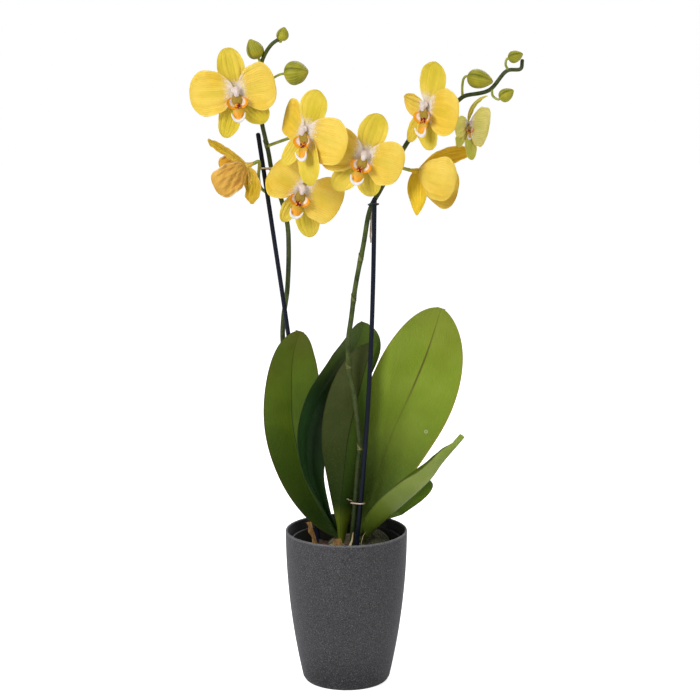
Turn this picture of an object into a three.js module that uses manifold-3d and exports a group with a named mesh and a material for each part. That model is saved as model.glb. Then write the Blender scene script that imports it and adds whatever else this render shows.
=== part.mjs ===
// A potted moth orchid: two arching flower spikes with eight yellow blooms and six buds, tied to two
// support sticks, over six leaves, in a clear nursery pot of bark that stands inside a tall cover pot.
//
// Millimetres, +Z up. The origin is the centre of the cover pot's flat underside, and the flowers face -Y.

import * as THREE from "three";
import { mergeVertices } from "three/addons/utils/BufferGeometryUtils.js";
import Module from "manifold-3d";

const wasm = await Module();
wasm.setup();

// ---------------------------------------------------------------- driving dimensions

const GAP = 0.4; // clear space between pieces that lie against each other
const ROOM = 0.58; // the same, where a faceted piece stands in a hole

const COVER_POT = {
  height: 159,
  rimRadius: 62.5,
  footRadius: 44.2, // where the wall would meet the ground without its rounded edge
  footEdge: 3,
  bellyPower: 2, // how late the wall starts to draw in, going down
  wall: 2.2,
  floor: 3,
  standRadius: 22, // middle of the ring inside that carries the nursery pot
  standWidth: 4,
  standTop: 24,
  sides: 32,
};

const NURSERY_POT = {
  rimTop: 149,
  rimRadius: 57.5,
  rimDepth: 5,
  topRadius: 55.5,
  footRadius: 41,
  wall: 1.2,
  sides: 28,
};

const BARK = {
  surface: 132,
  clear: 0.5, // between the bark and the nursery pot
  chips: 11,
  chipLength: [9, 17],
  chipThickness: [4, 6],
  seed: 7,
};

const MOUND = { at: [28, 11, 129], radii: [19, 22, 24], rings: 7, sides: 14 }; // bark heaped at the right

const CROWN = { x: 4, y: 2, foot: 96, sides: 9 };

const STICK = { radius: 2.3, foot: 42, sides: 8, steps: 10 };

const BLOOM_NECK = 8; // from a bloom's centre back to the end of its pedicel
const BLADE = 0.8; // thickness of a tepal
const LEAF = 1.9; // thickness of a leaf

// ---------------------------------------------------------------- colours

const finish = (color, roughness, metalness = 0) =>
  new THREE.MeshStandardMaterial({ color, roughness, metalness });
const ANTHRACITE = finish(0x4a4a4c, 0.75);
const CLEAR_PLASTIC = finish(0x8c8f84, 0.35);
const BARK_BROWN = finish(0x5a3d2a, 0.9);
const ROOT_GREEN = finish(0x8e9272, 0.7);
const LEAF_GREEN = finish(0x4f7417, 0.45);
const LEAF_DARK = finish(0x3f4a24, 0.5);
const STEM_GREEN = finish(0x5c7328, 0.5);
const STICK_BLUE_BLACK = finish(0x141a2a, 0.45);
const TIE_TAN = finish(0xc9ab8c, 0.6);
const PETAL_YELLOW = finish(0xf0cf3a, 0.55);
const LIP_WHITE = finish(0xf4dcc8, 0.5);
const DRY_SHEATH = finish(0xa08a5a, 0.8);

// ---------------------------------------------------------------- solids

// A closed geometry as a solid that can be joined and cut.
function solid(geometry) {
  const bare = geometry.index ? geometry.toNonIndexed() : geometry.clone();
  for (const name of Object.keys(bare.attributes)) {
    if (name !== "position") bare.deleteAttribute(name);
  }
  const merged = mergeVertices(bare, 1e-3);
  return new wasm.Manifold(
    new wasm.Mesh({
      numProp: 3,
      vertProperties: new Float32Array(merged.attributes.position.array),
      triVerts: new Uint32Array(merged.index.array),
    }),
  );
}

function geometryOf(manifold) {
  const mesh = manifold.getMesh();
  const stride = mesh.numProp;
  const position = new Float32Array(mesh.numVert * 3);
  for (let i = 0; i < mesh.numVert; i++) {
    position.set(mesh.vertProperties.subarray(i * stride, i * stride + 3), i * 3);
  }
  return new THREE.BufferGeometry()
    .setAttribute("position", new THREE.BufferAttribute(position, 3))
    .setIndex(new THREE.BufferAttribute(mesh.triVerts, 1));
}

// Several closed geometries joined into one body. Slivers that the joining leaves loose are dropped.
const fuse = (geometries) => largest(geometries.map(solid).reduce((a, b) => a.add(b)));

const largest = (whole) => whole.decompose().reduce((a, b) => (b.volume() > a.volume() ? b : a));

// A closed skin over a grid of rings: rings[i][j] is point j of ring i, and both ends are capped.
function ringSkin(rings) {
  const sides = rings[0].length;
  const position = rings.flat().flatMap((p) => [p.x, p.y, p.z]);
  const index = [];
  for (let i = 0; i < rings.length - 1; i++) {
    for (let j = 0; j < sides; j++) {
      const a = i * sides + j;
      const b = i * sides + ((j + 1) % sides);
      index.push(a, b, a + sides, b, b + sides, a + sides);
    }
  }
  for (const [ring, start] of [
    [rings[0], 0],
    [rings[rings.length - 1], (rings.length - 1) * sides],
  ]) {
    const middle = ring
      .reduce((sum, p) => sum.add(p), new THREE.Vector3())
      .divideScalar(sides);
    const centre = position.length / 3;
    position.push(middle.x, middle.y, middle.z);
    for (let j = 0; j < sides; j++) {
      const a = start + j;
      const b = start + ((j + 1) % sides);
      if (start === 0) index.push(centre, b, a);
      else index.push(centre, a, b);
    }
  }
  return new THREE.BufferGeometry()
    .setAttribute("position", new THREE.Float32BufferAttribute(position, 3))
    .setIndex(index);
}

// A round rod along a curve, whose radius follows a function of the share along it. Its rings are evenly
// spaced by length or, with byPoints, by the points the curve runs through.
function rod(curve, radius, steps, sides = 6, byPoints = false) {
  const rings = [];
  let heading = null;
  const normal = new THREE.Vector3();
  for (let i = 0; i <= steps; i++) {
    const t = i / steps;
    const centre = byPoints ? curve.getPoint(t) : curve.getPointAt(t);
    const tangent = byPoints ? curve.getTangent(t) : curve.getTangentAt(t);
    if (heading) {
      normal.applyQuaternion(new THREE.Quaternion().setFromUnitVectors(heading, tangent));
    } else {
      normal.set(tangent.z, 0.3, -tangent.x).cross(tangent).normalize();
    }
    heading = tangent;
    const binormal = tangent.clone().cross(normal).normalize();
    const r = radius(t);
    rings.push(
      Array.from({ length: sides }, (_, j) => {
        const turn = (2 * Math.PI * j) / sides;
        return centre
          .clone()
          .addScaledVector(normal, r * Math.cos(turn))
          .addScaledVector(binormal, r * Math.sin(turn));
      }),
    );
  }
  return ringSkin(rings);
}

// A blade of even thickness over surface(u, v), u from 0 at its base to 1 at its tip and v from -1 to 1
// across it. Both faces are split along the same diagonals.
function blade(surface, thickness, along, across) {
  const step = 1e-3;
  const faces = [[], []];
  for (let i = 0; i <= along; i++) {
    const u = 0.5 - 0.5 * Math.cos((Math.PI * i) / along);
    for (let j = 0; j <= across; j++) {
      const v = (2 * j) / across - 1;
      const p = surface(u, v);
      const du = surface(Math.min(u + step, 1), v).sub(surface(Math.max(u - step, 0), v));
      const dv = surface(u, Math.min(v + step, 1)).sub(surface(u, Math.max(v - step, -1)));
      const normal = dv.cross(du).normalize();
      faces[0].push(p.clone().addScaledVector(normal, thickness / 2));
      faces[1].push(p.clone().addScaledVector(normal, -thickness / 2));
    }
  }
  const row = across + 1;
  const count = faces[0].length;
  const position = faces.flat().flatMap((p) => [p.x, p.y, p.z]);
  const index = [];
  const quad = (a, b, c, d) => index.push(a, b, c, a, c, d);
  for (let i = 0; i < along; i++) {
    for (let j = 0; j < across; j++) {
      const a = i * row + j;
      index.push(a, a + 1, a + row + 1, a, a + row + 1, a + row);
      index.push(count + a, count + a + row + 1, count + a + 1);
      index.push(count + a, count + a + row, count + a + row + 1);
    }
    for (const [j, flip] of [
      [0, false],
      [across, true],
    ]) {
      const a = i * row + j;
      const b = a + row;
      if (flip) quad(a, a + count, b + count, b);
      else quad(a, b, b + count, a + count);
    }
  }
  for (const [i, flip] of [
    [0, true],
    [along, false],
  ]) {
    for (let j = 0; j < across; j++) {
      const a = i * row + j;
      const b = a + 1;
      if (flip) quad(a, a + count, b + count, b);
      else quad(a, b, b + count, a + count);
    }
  }
  return new THREE.BufferGeometry()
    .setAttribute("position", new THREE.Float32BufferAttribute(position, 3))
    .setIndex(index);
}

// Half the width of a leaf or tepal at share u of its length: 0 at both ends and 1 where it is broadest.
function outline(u, rise, fall) {
  const broadest = rise / (rise + fall);
  const share = Math.min(Math.max(u, 0.02), 0.998);
  return (share / broadest) ** rise * ((1 - share) / (1 - broadest)) ** fall;
}

// Where a curve that only ever climbs reaches height z.
function shareAtHeight(curve, z) {
  let low = 0;
  let high = 1;
  while (high - low > 1e-4) {
    const middle = (low + high) / 2;
    if (curve.getPoint(middle).z < z) low = middle;
    else high = middle;
  }
  return low;
}

const pointAtHeight = (curve, z) => curve.getPoint(shareAtHeight(curve, z));
const vector = (p) => new THREE.Vector3(...p);
const curveThrough = (points) => new THREE.CatmullRomCurve3(points.map(vector), false, "centripetal");
const degrees = (angle) => (angle * Math.PI) / 180;

// Numbers from 0 to 1 that are the same on each run.
function random(seed) {
  let state = seed;
  return () => {
    state = (state * 1664525 + 1013904223) % 4294967296;
    return state / 4294967296;
  };
}

const orchid = new THREE.Group();

function piece(name, geometry, material, parent = orchid) {
  const mesh = new THREE.Mesh(geometry, material);
  mesh.name = name;
  parent.add(mesh);
  return mesh;
}

// ---------------------------------------------------------------- pots

const coverRadius = (z) =>
  COVER_POT.rimRadius -
  (COVER_POT.rimRadius - COVER_POT.footRadius) *
    (1 - z / COVER_POT.height) ** COVER_POT.bellyPower;

function lathe(profile, sides) {
  const points = profile.map(([r, z]) => new THREE.Vector2(r, z));
  return new THREE.LatheGeometry(points, sides).rotateX(Math.PI / 2);
}

function coverPot() {
  const { height, wall, floor, footEdge, standRadius, standWidth, standTop } = COVER_POT;
  const outside = [[0, 0], [coverRadius(0) - footEdge, 0], [coverRadius(0) - 0.6, footEdge * 0.6]];
  for (const share of [0.07, 0.2, 0.38, 0.62, 1]) {
    outside.push([coverRadius(share * height), share * height]);
  }
  const inside = [];
  for (const share of [1, 0.55, 0.2]) {
    inside.push([coverRadius(share * height) - wall, share * height]);
  }
  inside.push([coverRadius(floor) - wall - 2, floor]);
  const stand = [
    [standRadius + standWidth / 2, floor],
    [standRadius + standWidth / 2, standTop],
    [standRadius - standWidth / 2, standTop],
    [standRadius - standWidth / 2, floor],
  ];
  return lathe([...outside, ...inside, ...stand, [0, floor]], COVER_POT.sides);
}

const nurseryFoot = COVER_POT.standTop + GAP;
const nurseryInside = (z) =>
  NURSERY_POT.footRadius -
  NURSERY_POT.wall +
  ((NURSERY_POT.topRadius - NURSERY_POT.footRadius) * (z - nurseryFoot)) /
    (NURSERY_POT.rimTop - nurseryFoot);

function nurseryPot() {
  const { rimTop, rimRadius, rimDepth, topRadius, footRadius, wall, sides } = NURSERY_POT;
  return lathe(
    [
      [0, nurseryFoot],
      [footRadius, nurseryFoot],
      [topRadius - 0.5, rimTop - rimDepth],
      [rimRadius, rimTop - rimDepth],
      [rimRadius, rimTop],
      [topRadius - wall, rimTop],
      [footRadius - wall, nurseryFoot + wall],
      [0, nurseryFoot + wall],
    ],
    sides,
  );
}

// ---------------------------------------------------------------- sticks and ties

const STICKS = {
  stick_left: [
    [-20, 28, STICK.foot],
    [-31, 39, 150],
    [-46, 47, 246],
    [-60, 41, 356],
    [-73.5, 29, 456],
    [-88.5, 16, 565],
  ],
  stick_right: [
    [5, -19, STICK.foot],
    [11, -18, 151],
    [15, -17, 195],
    [19, -17, 247],
    [22, -16, 295],
    [25, -16, 358],
    [27, -15, 430],
    [28, -14, 503],
  ],
};

const stick = (points) =>
  rod(curveThrough(points), () => STICK.radius, STICK.steps, STICK.sides);

// ---------------------------------------------------------------- spikes

// Each spike: its stem from the soil to its tip, the heights of its nodes, and its buds.
const SPIKES = {
  spike_left: {
    stem: [
      [1, 19, 118], [-2, 21, 150], [-9, 37, 190], [-14, 47, 218], [-36, 54, 256], [-59, 57, 304],
      [-66, 55, 345], [-65, 52, 372], [-61, 48, 400], [-59, 40, 445], [-60, 34, 470],
      [-66, 27, 497], [-75, 19, 527], [-78, 15, 545], [-84, 10, 574], [-88, 4, 602],
      [-83, -4, 635], [-74, -10, 651], [-65, -14, 658],
    ],
    scales: [213, 331, 552],
    buds: [
      { from: 641, at: [-90, -6, 647], axis: [-0.4, -0.1, 0.85], length: 19, radius: 8.4 },
      { from: 656, at: [-62, -15, 662], axis: [0.25, -0.3, 0.9], length: 13, radius: 6, reach: 2 },
      { from: 611, at: [-49, -16, 625], axis: [0.8, -0.4, 0.1], length: 23, radius: 11.8 },
    ],
  },
  spike_right: {
    stem: [
      [5, -11, 118], [6, -10, 150], [9, -10, 188], [12, -9, 229], [14, -8.6, 250],
      [12, -9, 270], [8, -9, 301], [3, -8, 325], [2, -6, 357], [5, -5, 380],
      [9, -4, 411], [17, -3, 453], [24, -3, 490], [34, -4, 509], [46, -5, 531],
      [65, -7, 563], [78, -9, 578], [109, -12, 597], [116, -13, 602], [140, -16, 608],
      [157, -20, 627], [170, -22, 629], [171.5, -22, 637],
    ],
    scales: [247, 331, 399, 440],
    buds: [
      {
        from: 601, at: [130, -18, 619], axis: [0.95, -0.2, -0.2], length: 24, radius: 9.4,
        via: [[113.8, -13.5, 612], [115.2, -14.8, 619.5]], reach: 2,
      },
      {
        from: 610, at: [156, -24, 604], axis: [0.75, -0.2, 0.5], length: 15, radius: 6.6,
        via: [[143.5, -18.5, 602.5]], reach: 2,
      },
      {
        from: 627.5, at: [164, -26, 641], axis: [0.9, -0.2, 0.3], length: 14, radius: 6,
        via: [[155.3, -22, 633]], reach: 2,
      },
    ],
  },
};

const STEM_FOOT = 2.7;
const STEM_TIP = 1.8;
const STEM_THINNING = 2; // how late the stem thins, going up
const STEM_SIDES = 6;
const stemSteps = (stem) => 1.5 * (stem.length - 1 + ((stem.length - 1) % 2));
const stemRadius = (t) => STEM_FOOT + (STEM_TIP - STEM_FOOT) * t ** STEM_THINNING;

// ---------------------------------------------------------------- blooms

// Each bloom: its centre; how far it turns to the right, nods down and leans over, in degrees; its size;
// its spike, where its pedicel leaves the stem and what it passes by. tepals changes single tepals.
const CUPPED = { cup: 0.2, rise: 1.1, set: 0, across: 4 }; // a petal bent forward round the lip
const BLOOMS = [
  {
    name: "bloom_1", at: [-107, -28, 607], turn: 4, nod: 4, lean: -5, size: 1,
    spike: "spike_left", from: 600,
    tepals: {
      dorsal: { angle: -7 },
      left_petal: { angle: -88, length: 44 },
      right_petal: { angle: 84, length: 37.5, up: 25 },
      left_sepal: { angle: -161, length: 45, up: 11, down: 11 },
      right_sepal: { angle: 140, length: 40 },
    },
  },
  {
    name: "bloom_2", at: [-39, -37, 570], turn: -35, nod: 4, lean: -6, size: 1,
    spike: "spike_left", from: 551,
    tepals: {
      dorsal: { angle: 31, twist: 10, length: 42, up: 15.5, down: 14 },
      left_petal: { angle: -60, lift: -20, curl: -10, length: 42, up: 20, down: 20 },
      right_petal: { angle: 118, lift: -6, curl: -10, length: 45, up: 25, down: 24 },
      left_sepal: { angle: -138, lift: 6, length: 41, up: 9, down: 9 },
      right_sepal: { angle: 180, length: 52, up: 13, down: 13, lift: 0 },
    },
  },
  {
    name: "bloom_3", at: [-44, -8, 510], turn: 6, nod: 8, lean: 18, size: 1,
    spike: "spike_left", from: 488,
    tepals: {
      dorsal: { angle: -6, lift: -18, curl: 4, length: 34 },
      left_petal: { angle: -74, length: 36 },
      right_petal: { angle: 95, length: 41, down: 25 },
      left_sepal: { angle: -168, length: 37, up: 9, down: 8 },
      right_sepal: { angle: 151, length: 49 },
    },
  },
  {
    name: "bloom_4", at: [-99, 2, 532], turn: -98, nod: 22, lean: 0, size: 1,
    spike: "spike_left", from: 498,
    via: [[-78, 31, 501], [-86, 25, 508], [-88, 16, 519]], reach: 4.5, lip: 0.34,
    tepals: {
      dorsal: { lift: 35, curl: 2, length: 46, up: 6.5, down: 6.5, cup: 0.3, roll: 50 },
      left_petal: { angle: -75, lift: 24, curl: 62, ...CUPPED, length: 40, up: 14, down: 15, cup: 0.08 },
      right_petal: {
        angle: 104, lift: 24, curl: 62, ...CUPPED, length: 43, up: 15, down: 17,
        cup: 0.12, rise: 0.6, fall: 0.3,
      },
      left_sepal: { angle: -168, lift: -4, curl: 40, length: 32, up: 8, down: 8 },
      right_sepal: { angle: 166, lift: -14, curl: 56, length: 38, up: 9.5, down: 9.5, roll: -68 },
    },
  },
  {
    name: "bloom_5", at: [18, -38, 546], turn: -6, nod: 6, lean: 18, size: 1,
    spike: "spike_right", from: 506,
    tepals: {
      dorsal: { angle: 2, up: 14.5, down: 14 },
      left_petal: { angle: -94, length: 43 },
      right_petal: { angle: 91, length: 38 },
      left_sepal: { angle: -156, length: 44 },
      right_sepal: { angle: 153 },
    },
  },
  {
    name: "bloom_6", at: [78, -42, 594], turn: -40, nod: 6, lean: -2, size: 1,
    spike: "spike_right", from: 572,
    tepals: {
      dorsal: { angle: 22, length: 44, twist: 10, up: 15, down: 14 },
      left_petal: { angle: -80, lift: -16, curl: -14, length: 42, up: 8, down: 14, fall: 0.8 },
      right_petal: { angle: 107, lift: -2, curl: -8, length: 36, up: 24, down: 23 },
      left_sepal: { angle: -143, lift: -4, length: 42, up: 8, down: 8 },
      right_sepal: { angle: -176, length: 42, up: 13, down: 13 },
    },
  },
  {
    name: "bloom_7", at: [70.5, -14, 528], turn: 92, nod: 12, lean: 0, size: 1,
    spike: "spike_right", from: 528, lip: 0.26,
    tepals: {
      dorsal: { lift: 40, curl: 38, length: 57, up: 10.5, down: 10.5, cup: 0.2, roll: -55, rise: 0.95 },
      left_petal: { angle: -94, lift: 13, curl: 78, ...CUPPED, length: 50, up: 23, down: 21, rise: 0.9 },
      right_petal: { angle: 114, lift: 34, curl: 62, ...CUPPED, length: 54, up: 20, down: 27, set: 0.9 },
      left_sepal: {
        angle: -164, lift: 12, curl: 6, length: 43, up: 12, down: 10,
        cup: 0.3, roll: 50, set: 3.2, rise: 0.5, fall: 0.8,
      },
      right_sepal: { angle: 160, lift: 2, curl: 10, length: 37, up: 10, down: 10, cup: 0.3 },
    },
  },
  {
    name: "bloom_8", at: [119, -24, 576], turn: 42, nod: 8, lean: 14, size: 0.8,
    spike: "spike_right", from: 585, lip: 0.65,
    tepals: {
      dorsal: { angle: 2, lift: -26, curl: 104, length: 47, up: 7.5, down: 7.5, cup: 0.4, roll: 30 },
      left_petal: { angle: -110, lift: 10, curl: 4, length: 28, up: 13, down: 14 },
      right_petal: { angle: 80, lift: 20, curl: -4, length: 28, up: 23, down: 27 },
      left_sepal: { angle: -150, lift: 10, length: 34, up: 10, down: 10 },
      right_sepal: { angle: 156, lift: 5, length: 44, up: 10, down: 10 },
    },
  },
];

// The usual tepals of a bloom of size 1. angle is clockwise from straight up, seen from the front; up and
// down are the half widths on the two sides; lift is how far the base points forward of the bloom's plane
// and curl how much more the tip does, in degrees; cup raises both margins forward; set is how far back
// the base stands.
const SEPAL = { length: 40, up: 12.5, down: 12.5, lift: -6, curl: 10, cup: 0.12, rise: 0.62, fall: 0.5 };
const PETAL = { length: 42, up: 23, down: 22, lift: 8, curl: -14, cup: 0.08, rise: 0.62, fall: 0.42 };
const TEPALS = {
  dorsal: { ...SEPAL, angle: 0, length: 42, up: 13.5, down: 13.5, curl: 14, cup: 0.1, set: 0.4 },
  left_sepal: { ...SEPAL, angle: -148, set: 0.1 },
  right_sepal: { ...SEPAL, angle: 148, set: 0.1 },
  left_petal: { ...PETAL, angle: -80, set: -1.4 },
  right_petal: { ...PETAL, angle: 80, set: -1.4 },
};

// A tepal's middle line leaves the centre at its lift and bends evenly by its curl.
function tepalSurface(t) {
  const side = t.angle < 0 ? -1 : 1;
  const direction = vector([Math.sin(degrees(t.angle)), 0, Math.cos(degrees(t.angle))]);
  const sideways = vector([-Math.cos(degrees(t.angle)), 0, Math.sin(degrees(t.angle))]).multiplyScalar(side);
  const forward = vector([0, -1, 0]);
  const curl = degrees(t.curl) || 1e-4;
  const lift = degrees(t.lift);
  return (u, v) => {
    const slope = lift + curl * u;
    const out = 1.5 + (t.length * (Math.sin(slope) - Math.sin(lift))) / curl;
    const ahead = -(t.length * (Math.cos(slope) - Math.cos(lift))) / curl - t.set;
    const half = (v > 0 ? t.up : t.down) * outline(u, t.rise, t.fall);
    const raised = t.cup * half * v * v;
    const twist = degrees((t.roll || 0) + (t.twist || 0) * u);
    const flat = v * half * Math.cos(twist) - raised * Math.sin(twist);
    const lifted = raised * Math.cos(twist) + v * half * Math.sin(twist);
    return direction
      .clone()
      .multiplyScalar(out - lifted * Math.sin(slope))
      .addScaledVector(sideways, flat)
      .addScaledVector(forward, ahead + lifted * Math.cos(slope));
  };
}

const HUB = [[0, -1.9], [3.2, -1.8], [3.6, 1.2], [1.7, BLOOM_NECK], [0, BLOOM_NECK]];

function tepalsOf(bloom) {
  const hub = new THREE.LatheGeometry(
    HUB.map(([r, y]) => new THREE.Vector2(r, y)),
    6,
  );
  const blades = Object.entries(TEPALS).map(([name, usual]) => {
    const shape = { ...usual, ...(bloom.tepals || {})[name] };
    return blade(tepalSurface(shape), BLADE, name.endsWith("petal") ? 6 : 5, shape.across || 2);
  });
  return geometryOf(fuse([hub, ...blades]));
}

// The lip and the column: a short column over a cup of two side lobes and, below it, a narrow tongue that
// ends in two upturned tendrils.
const CUP = { z: -8, wide: 11, tall: 9.8, inner: 0.42, back: -5, front: -10, reach: 128 };

const LIP_START = 2.6; // from a bloom's centre forward to the foot of the column

function lipCup(u, v) {
  const around = degrees(CUP.reach * (2 * u - 1));
  const ends = Math.max(1 - Math.abs(2 * u - 1) ** 4, 0.12) ** 0.5;
  const height = ends * (0.72 + 0.28 * Math.sin(around) ** 2);
  const share = CUP.inner + (1 - CUP.inner) * height * (0.5 + 0.5 * v);
  const ahead = CUP.back + (CUP.front - CUP.back) * height * (0.5 + 0.5 * v) ** 1.4;
  return vector([CUP.wide * share * Math.sin(around), ahead, CUP.z - CUP.tall * share * Math.cos(around)]);
}

function lipTongue(u, v) {
  const half = 1.7 + 2.3 * Math.sin(Math.PI * u ** 0.8);
  return vector([v * half, -5.8 - 6.2 * Math.sin(Math.PI * 0.6 * u) + 0.35 * half * v * v, -11 - 15.5 * u]);
}

function lipOf() {
  const column = rod(
    curveThrough([[0, -LIP_START, 1.6], [0, -5.4, 1.4], [0, -8.8, -0.6]]),
    (t) => 2.4 + 1.2 * Math.sin(Math.PI * 0.85 * t),
    2,
    5,
  );
  const throat = new THREE.SphereGeometry(1, 6, 3).scale(5, 1.7, 7.2).translate(0, -5.8, -7);
  const cup = blade(lipCup, 1, 7, 1);
  const tongue = blade(lipTongue, 1.2, 4, 1);
  const tendrils = [1, -1].map((side) =>
    rod(
      curveThrough([[0, -11.4, -25.5], [side * 3.4, -12.2, -24.2], [side * 6, -12.6, -19.2]]),
      (t) => 1 - 0.4 * t,
      2,
      3,
    ),
  );
  return fuse([column, throat, cup, tongue, ...tendrils]);
}

function bloomGroup(bloom) {
  const group = new THREE.Group();
  group.position.set(...bloom.at);
  group.rotation.set(degrees(bloom.nod), degrees(bloom.lean), degrees(bloom.turn), "ZXY");
  group.scale.setScalar(bloom.size);
  group.updateMatrix();
  return group;
}

// ---------------------------------------------------------------- leaves

// Each leaf: points of its midrib from base to tip; across, the way from the midrib to its right-hand
// margin seen from its upper face; for its left and right half the greatest width and the power by which
// it widens; how far its halves fold up, at base and tip; and the share of its length at which it is open.
const LEAVES = [
  {
    name: "leaf_left_outer", dark: false, across: [1, 0, 0], fold: [25, 12],
    half: [30, 30.5], rise: [0.7, 1.1], fall: [0.55, 0.5],
    midrib: [
      [-7, 14, 145], [-20, 22, 161], [-34, 28, 186], [-45, 31, 215],
      [-55, 33, 257], [-57, 34.5, 298], [-55, 36, 334], [-48, 39, 359],
    ],
  },
  {
    name: "leaf_left_inner", dark: false, across: [0.85, 0.5, 0], fold: [60, 15], open: 1,
    half: [30, 34], rise: [0.8, 1.3], fall: [0.5, 0.45],
    midrib: [
      [-7, 4, 149], [-23, 8, 178], [-38, 15, 214], [-40, 20, 256],
      [-27, 26, 294], [-4, 32, 327], [11, 37, 348], [18, 41, 368],
    ],
  },
  {
    name: "leaf_centre", dark: true, across: [-1, 0.05, 0], fold: [50, 12],
    half: [18.5, 31], rise: [0.65, 1.32], fall: [1.1, 0.65],
    midrib: [
      [-5, -9, 145], [-6.5, -10, 175], [-1.5, -7, 229], [3, -4, 262],
      [13, 1, 303], [21, 7, 332], [28, 13, 352],
    ],
  },
  {
    name: "leaf_right_back", dark: false, across: [0.97, -0.1, 0], fold: [14, 3],
    half: [43, 46], rise: [1, 0.95], fall: [0.55, 0.62],
    midrib: [
      [12, 6, 155], [22, 9, 184], [35, 13, 222], [49, 15, 261],
      [67, 18, 301], [83, 21, 341], [97, 26, 385],
    ],
  },
  {
    name: "leaf_right_front", dark: false, across: [-0.3, -1, 0], fold: [60, 40],
    half: [28, 28], rise: [1, 1], fall: [1.3, 1.3],
    midrib: [
      [17, -6, 148], [31, -16, 166], [51, -24, 187], [71, -31, 207],
      [85, -37, 223], [95, -42, 239], [117, -52, 268],
    ],
  },
  {
    name: "leaf_right_low", dark: false, across: [0.3, -1, -0.3], fold: [45, 5],
    half: [24, 24], rise: [0.7, 0.7], fall: [0.4, 0.4],
    midrib: [[14, 13, 149], [32, 20, 163], [50, 29, 176], [68, 38, 187], [87, 47, 199]],
  },
];

function leafSurface(leaf, spread = 0) {
  const midrib = curveThrough(leaf.midrib);
  return (u, v) => {
    const along = midrib.getTangentAt(u);
    const across = vector(leaf.across);
    across.addScaledVector(along, -across.dot(along)).normalize();
    const upward = across.clone().cross(along);
    const side = v < 0 ? 0 : 1;
    const half = Math.max(leaf.half[side] * outline(u, leaf.rise[side], leaf.fall[side]), 4.5) + spread;
    const opened = Math.min(u / (leaf.open || 0.45), 1);
    const fold = degrees(leaf.fold[0] + (leaf.fold[1] - leaf.fold[0]) * opened);
    const rounded = (Math.sqrt(v * v + 0.04) - 0.2) / (Math.sqrt(1.04) - 0.2);
    return midrib
      .getPointAt(u)
      .addScaledVector(across, v * half * Math.cos(fold))
      .addScaledVector(upward, half * rounded * Math.sin(fold));
  };
}

const leafSolid = (leaf) => blade(leafSurface(leaf), LEAF, 11, 4);

// The room a leaf's foot takes in the crown: the same blade, a little thicker, wider and longer.
function leafSeat(leaf) {
  const surface = leafSurface(leaf, ROOM);
  const foot = surface(0, 0);
  const away = surface(0.02, 0).sub(foot).normalize().multiplyScalar(-ROOM);
  return blade((u, v) => surface(0.3 * u, v).addScaledVector(away, 1 - u), LEAF + 3 * ROOM, 4, 4);
}

// ---------------------------------------------------------------- crown, roots and bark

const ROOTS = [[-160, 36], [-128, 40], [-48, 42], [12, 38], [66, 34], [128, 40]];

// A root leaves the crown level, rises a little and dips into the bark.
function root([heading, reach]) {
  const out = vector([Math.cos(degrees(heading)), Math.sin(degrees(heading)), 0]);
  return (spread) => {
    const points = [[0, 139], [0.35, 144], [0.72, 139], [0.95, 128], [1, 114 - spread]].map(([share, z]) =>
      out.clone().multiplyScalar(reach * share).add(vector([CROWN.x, CROWN.y, z])),
    );
    return rod(new THREE.CatmullRomCurve3(points, false, "centripetal"), () => 2.6 + spread, 5, 5);
  };
}

function crownParts(spread) {
  const body = new THREE.LatheGeometry(
    [[0, CROWN.foot], [5, CROWN.foot], [8, 122], [12.5, 138], [13, 146], [9, 151], [0, 152]].map(
      ([r, z]) => new THREE.Vector2(r === 0 ? 0 : r + spread, z + (z === CROWN.foot ? -spread : spread)),
    ),
    CROWN.sides,
  )
    .rotateX(Math.PI / 2)
    .translate(CROWN.x, CROWN.y, 0);
  return [body, ...ROOTS.map((spec) => root(spec)(spread))];
}

// The same points with the foot sunk deeper.
const sunk = ([foot, ...rest], depth) => [[foot[0], foot[1], foot[2] - depth], ...rest];

// The rods that stand in the bark, each widened by spread.
function standingRods(spread) {
  const rods = Object.values(STICKS).map((points) =>
    rod(curveThrough(sunk(points, spread)), () => STICK.radius + spread, STICK.steps, STICK.sides),
  );
  for (const { stem } of Object.values(SPIKES)) {
    const curve = curveThrough(sunk(stem, spread));
    rods.push(rod(curve, (t) => stemRadius(t) + spread, stemSteps(stem), STEM_SIDES, true));
  }
  return rods;
}

function crown() {
  let body = fuse(crownParts(0));
  for (const cut of [...LEAVES.map(leafSeat), ...standingRods(ROOM)]) {
    body = body.subtract(solid(cut));
  }
  return geometryOf(largest(body));
}

// One chip of bark: a block with its corners drawn in at random, lying at a random slant.
function chip(next) {
  const [shortest, longest] = BARK.chipLength;
  const length = shortest + (longest - shortest) * next();
  const [thinnest, thickest] = BARK.chipThickness;
  const width = length * (0.5 + 0.3 * next());
  const box = new THREE.BoxGeometry(length, width, thinnest + (thickest - thinnest) * next());
  const block = mergeVertices(box.deleteAttribute("normal").deleteAttribute("uv"), 1e-3);
  const corner = block.attributes.position;
  for (let i = 0; i < corner.count; i++) {
    const draw = 0.72 + 0.28 * next();
    corner.setXYZ(i, corner.getX(i) * draw, corner.getY(i) * draw, corner.getZ(i));
  }
  const reach = (nurseryInside(BARK.surface) - 12) * Math.sqrt(next());
  const heading = 2 * Math.PI * next();
  return block
    .rotateX(0.9 * (next() - 0.5))
    .rotateY(0.9 * (next() - 0.5))
    .rotateZ(Math.PI * next())
    .translate(reach * Math.cos(heading), reach * Math.sin(heading), BARK.surface + 0.5);
}

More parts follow.
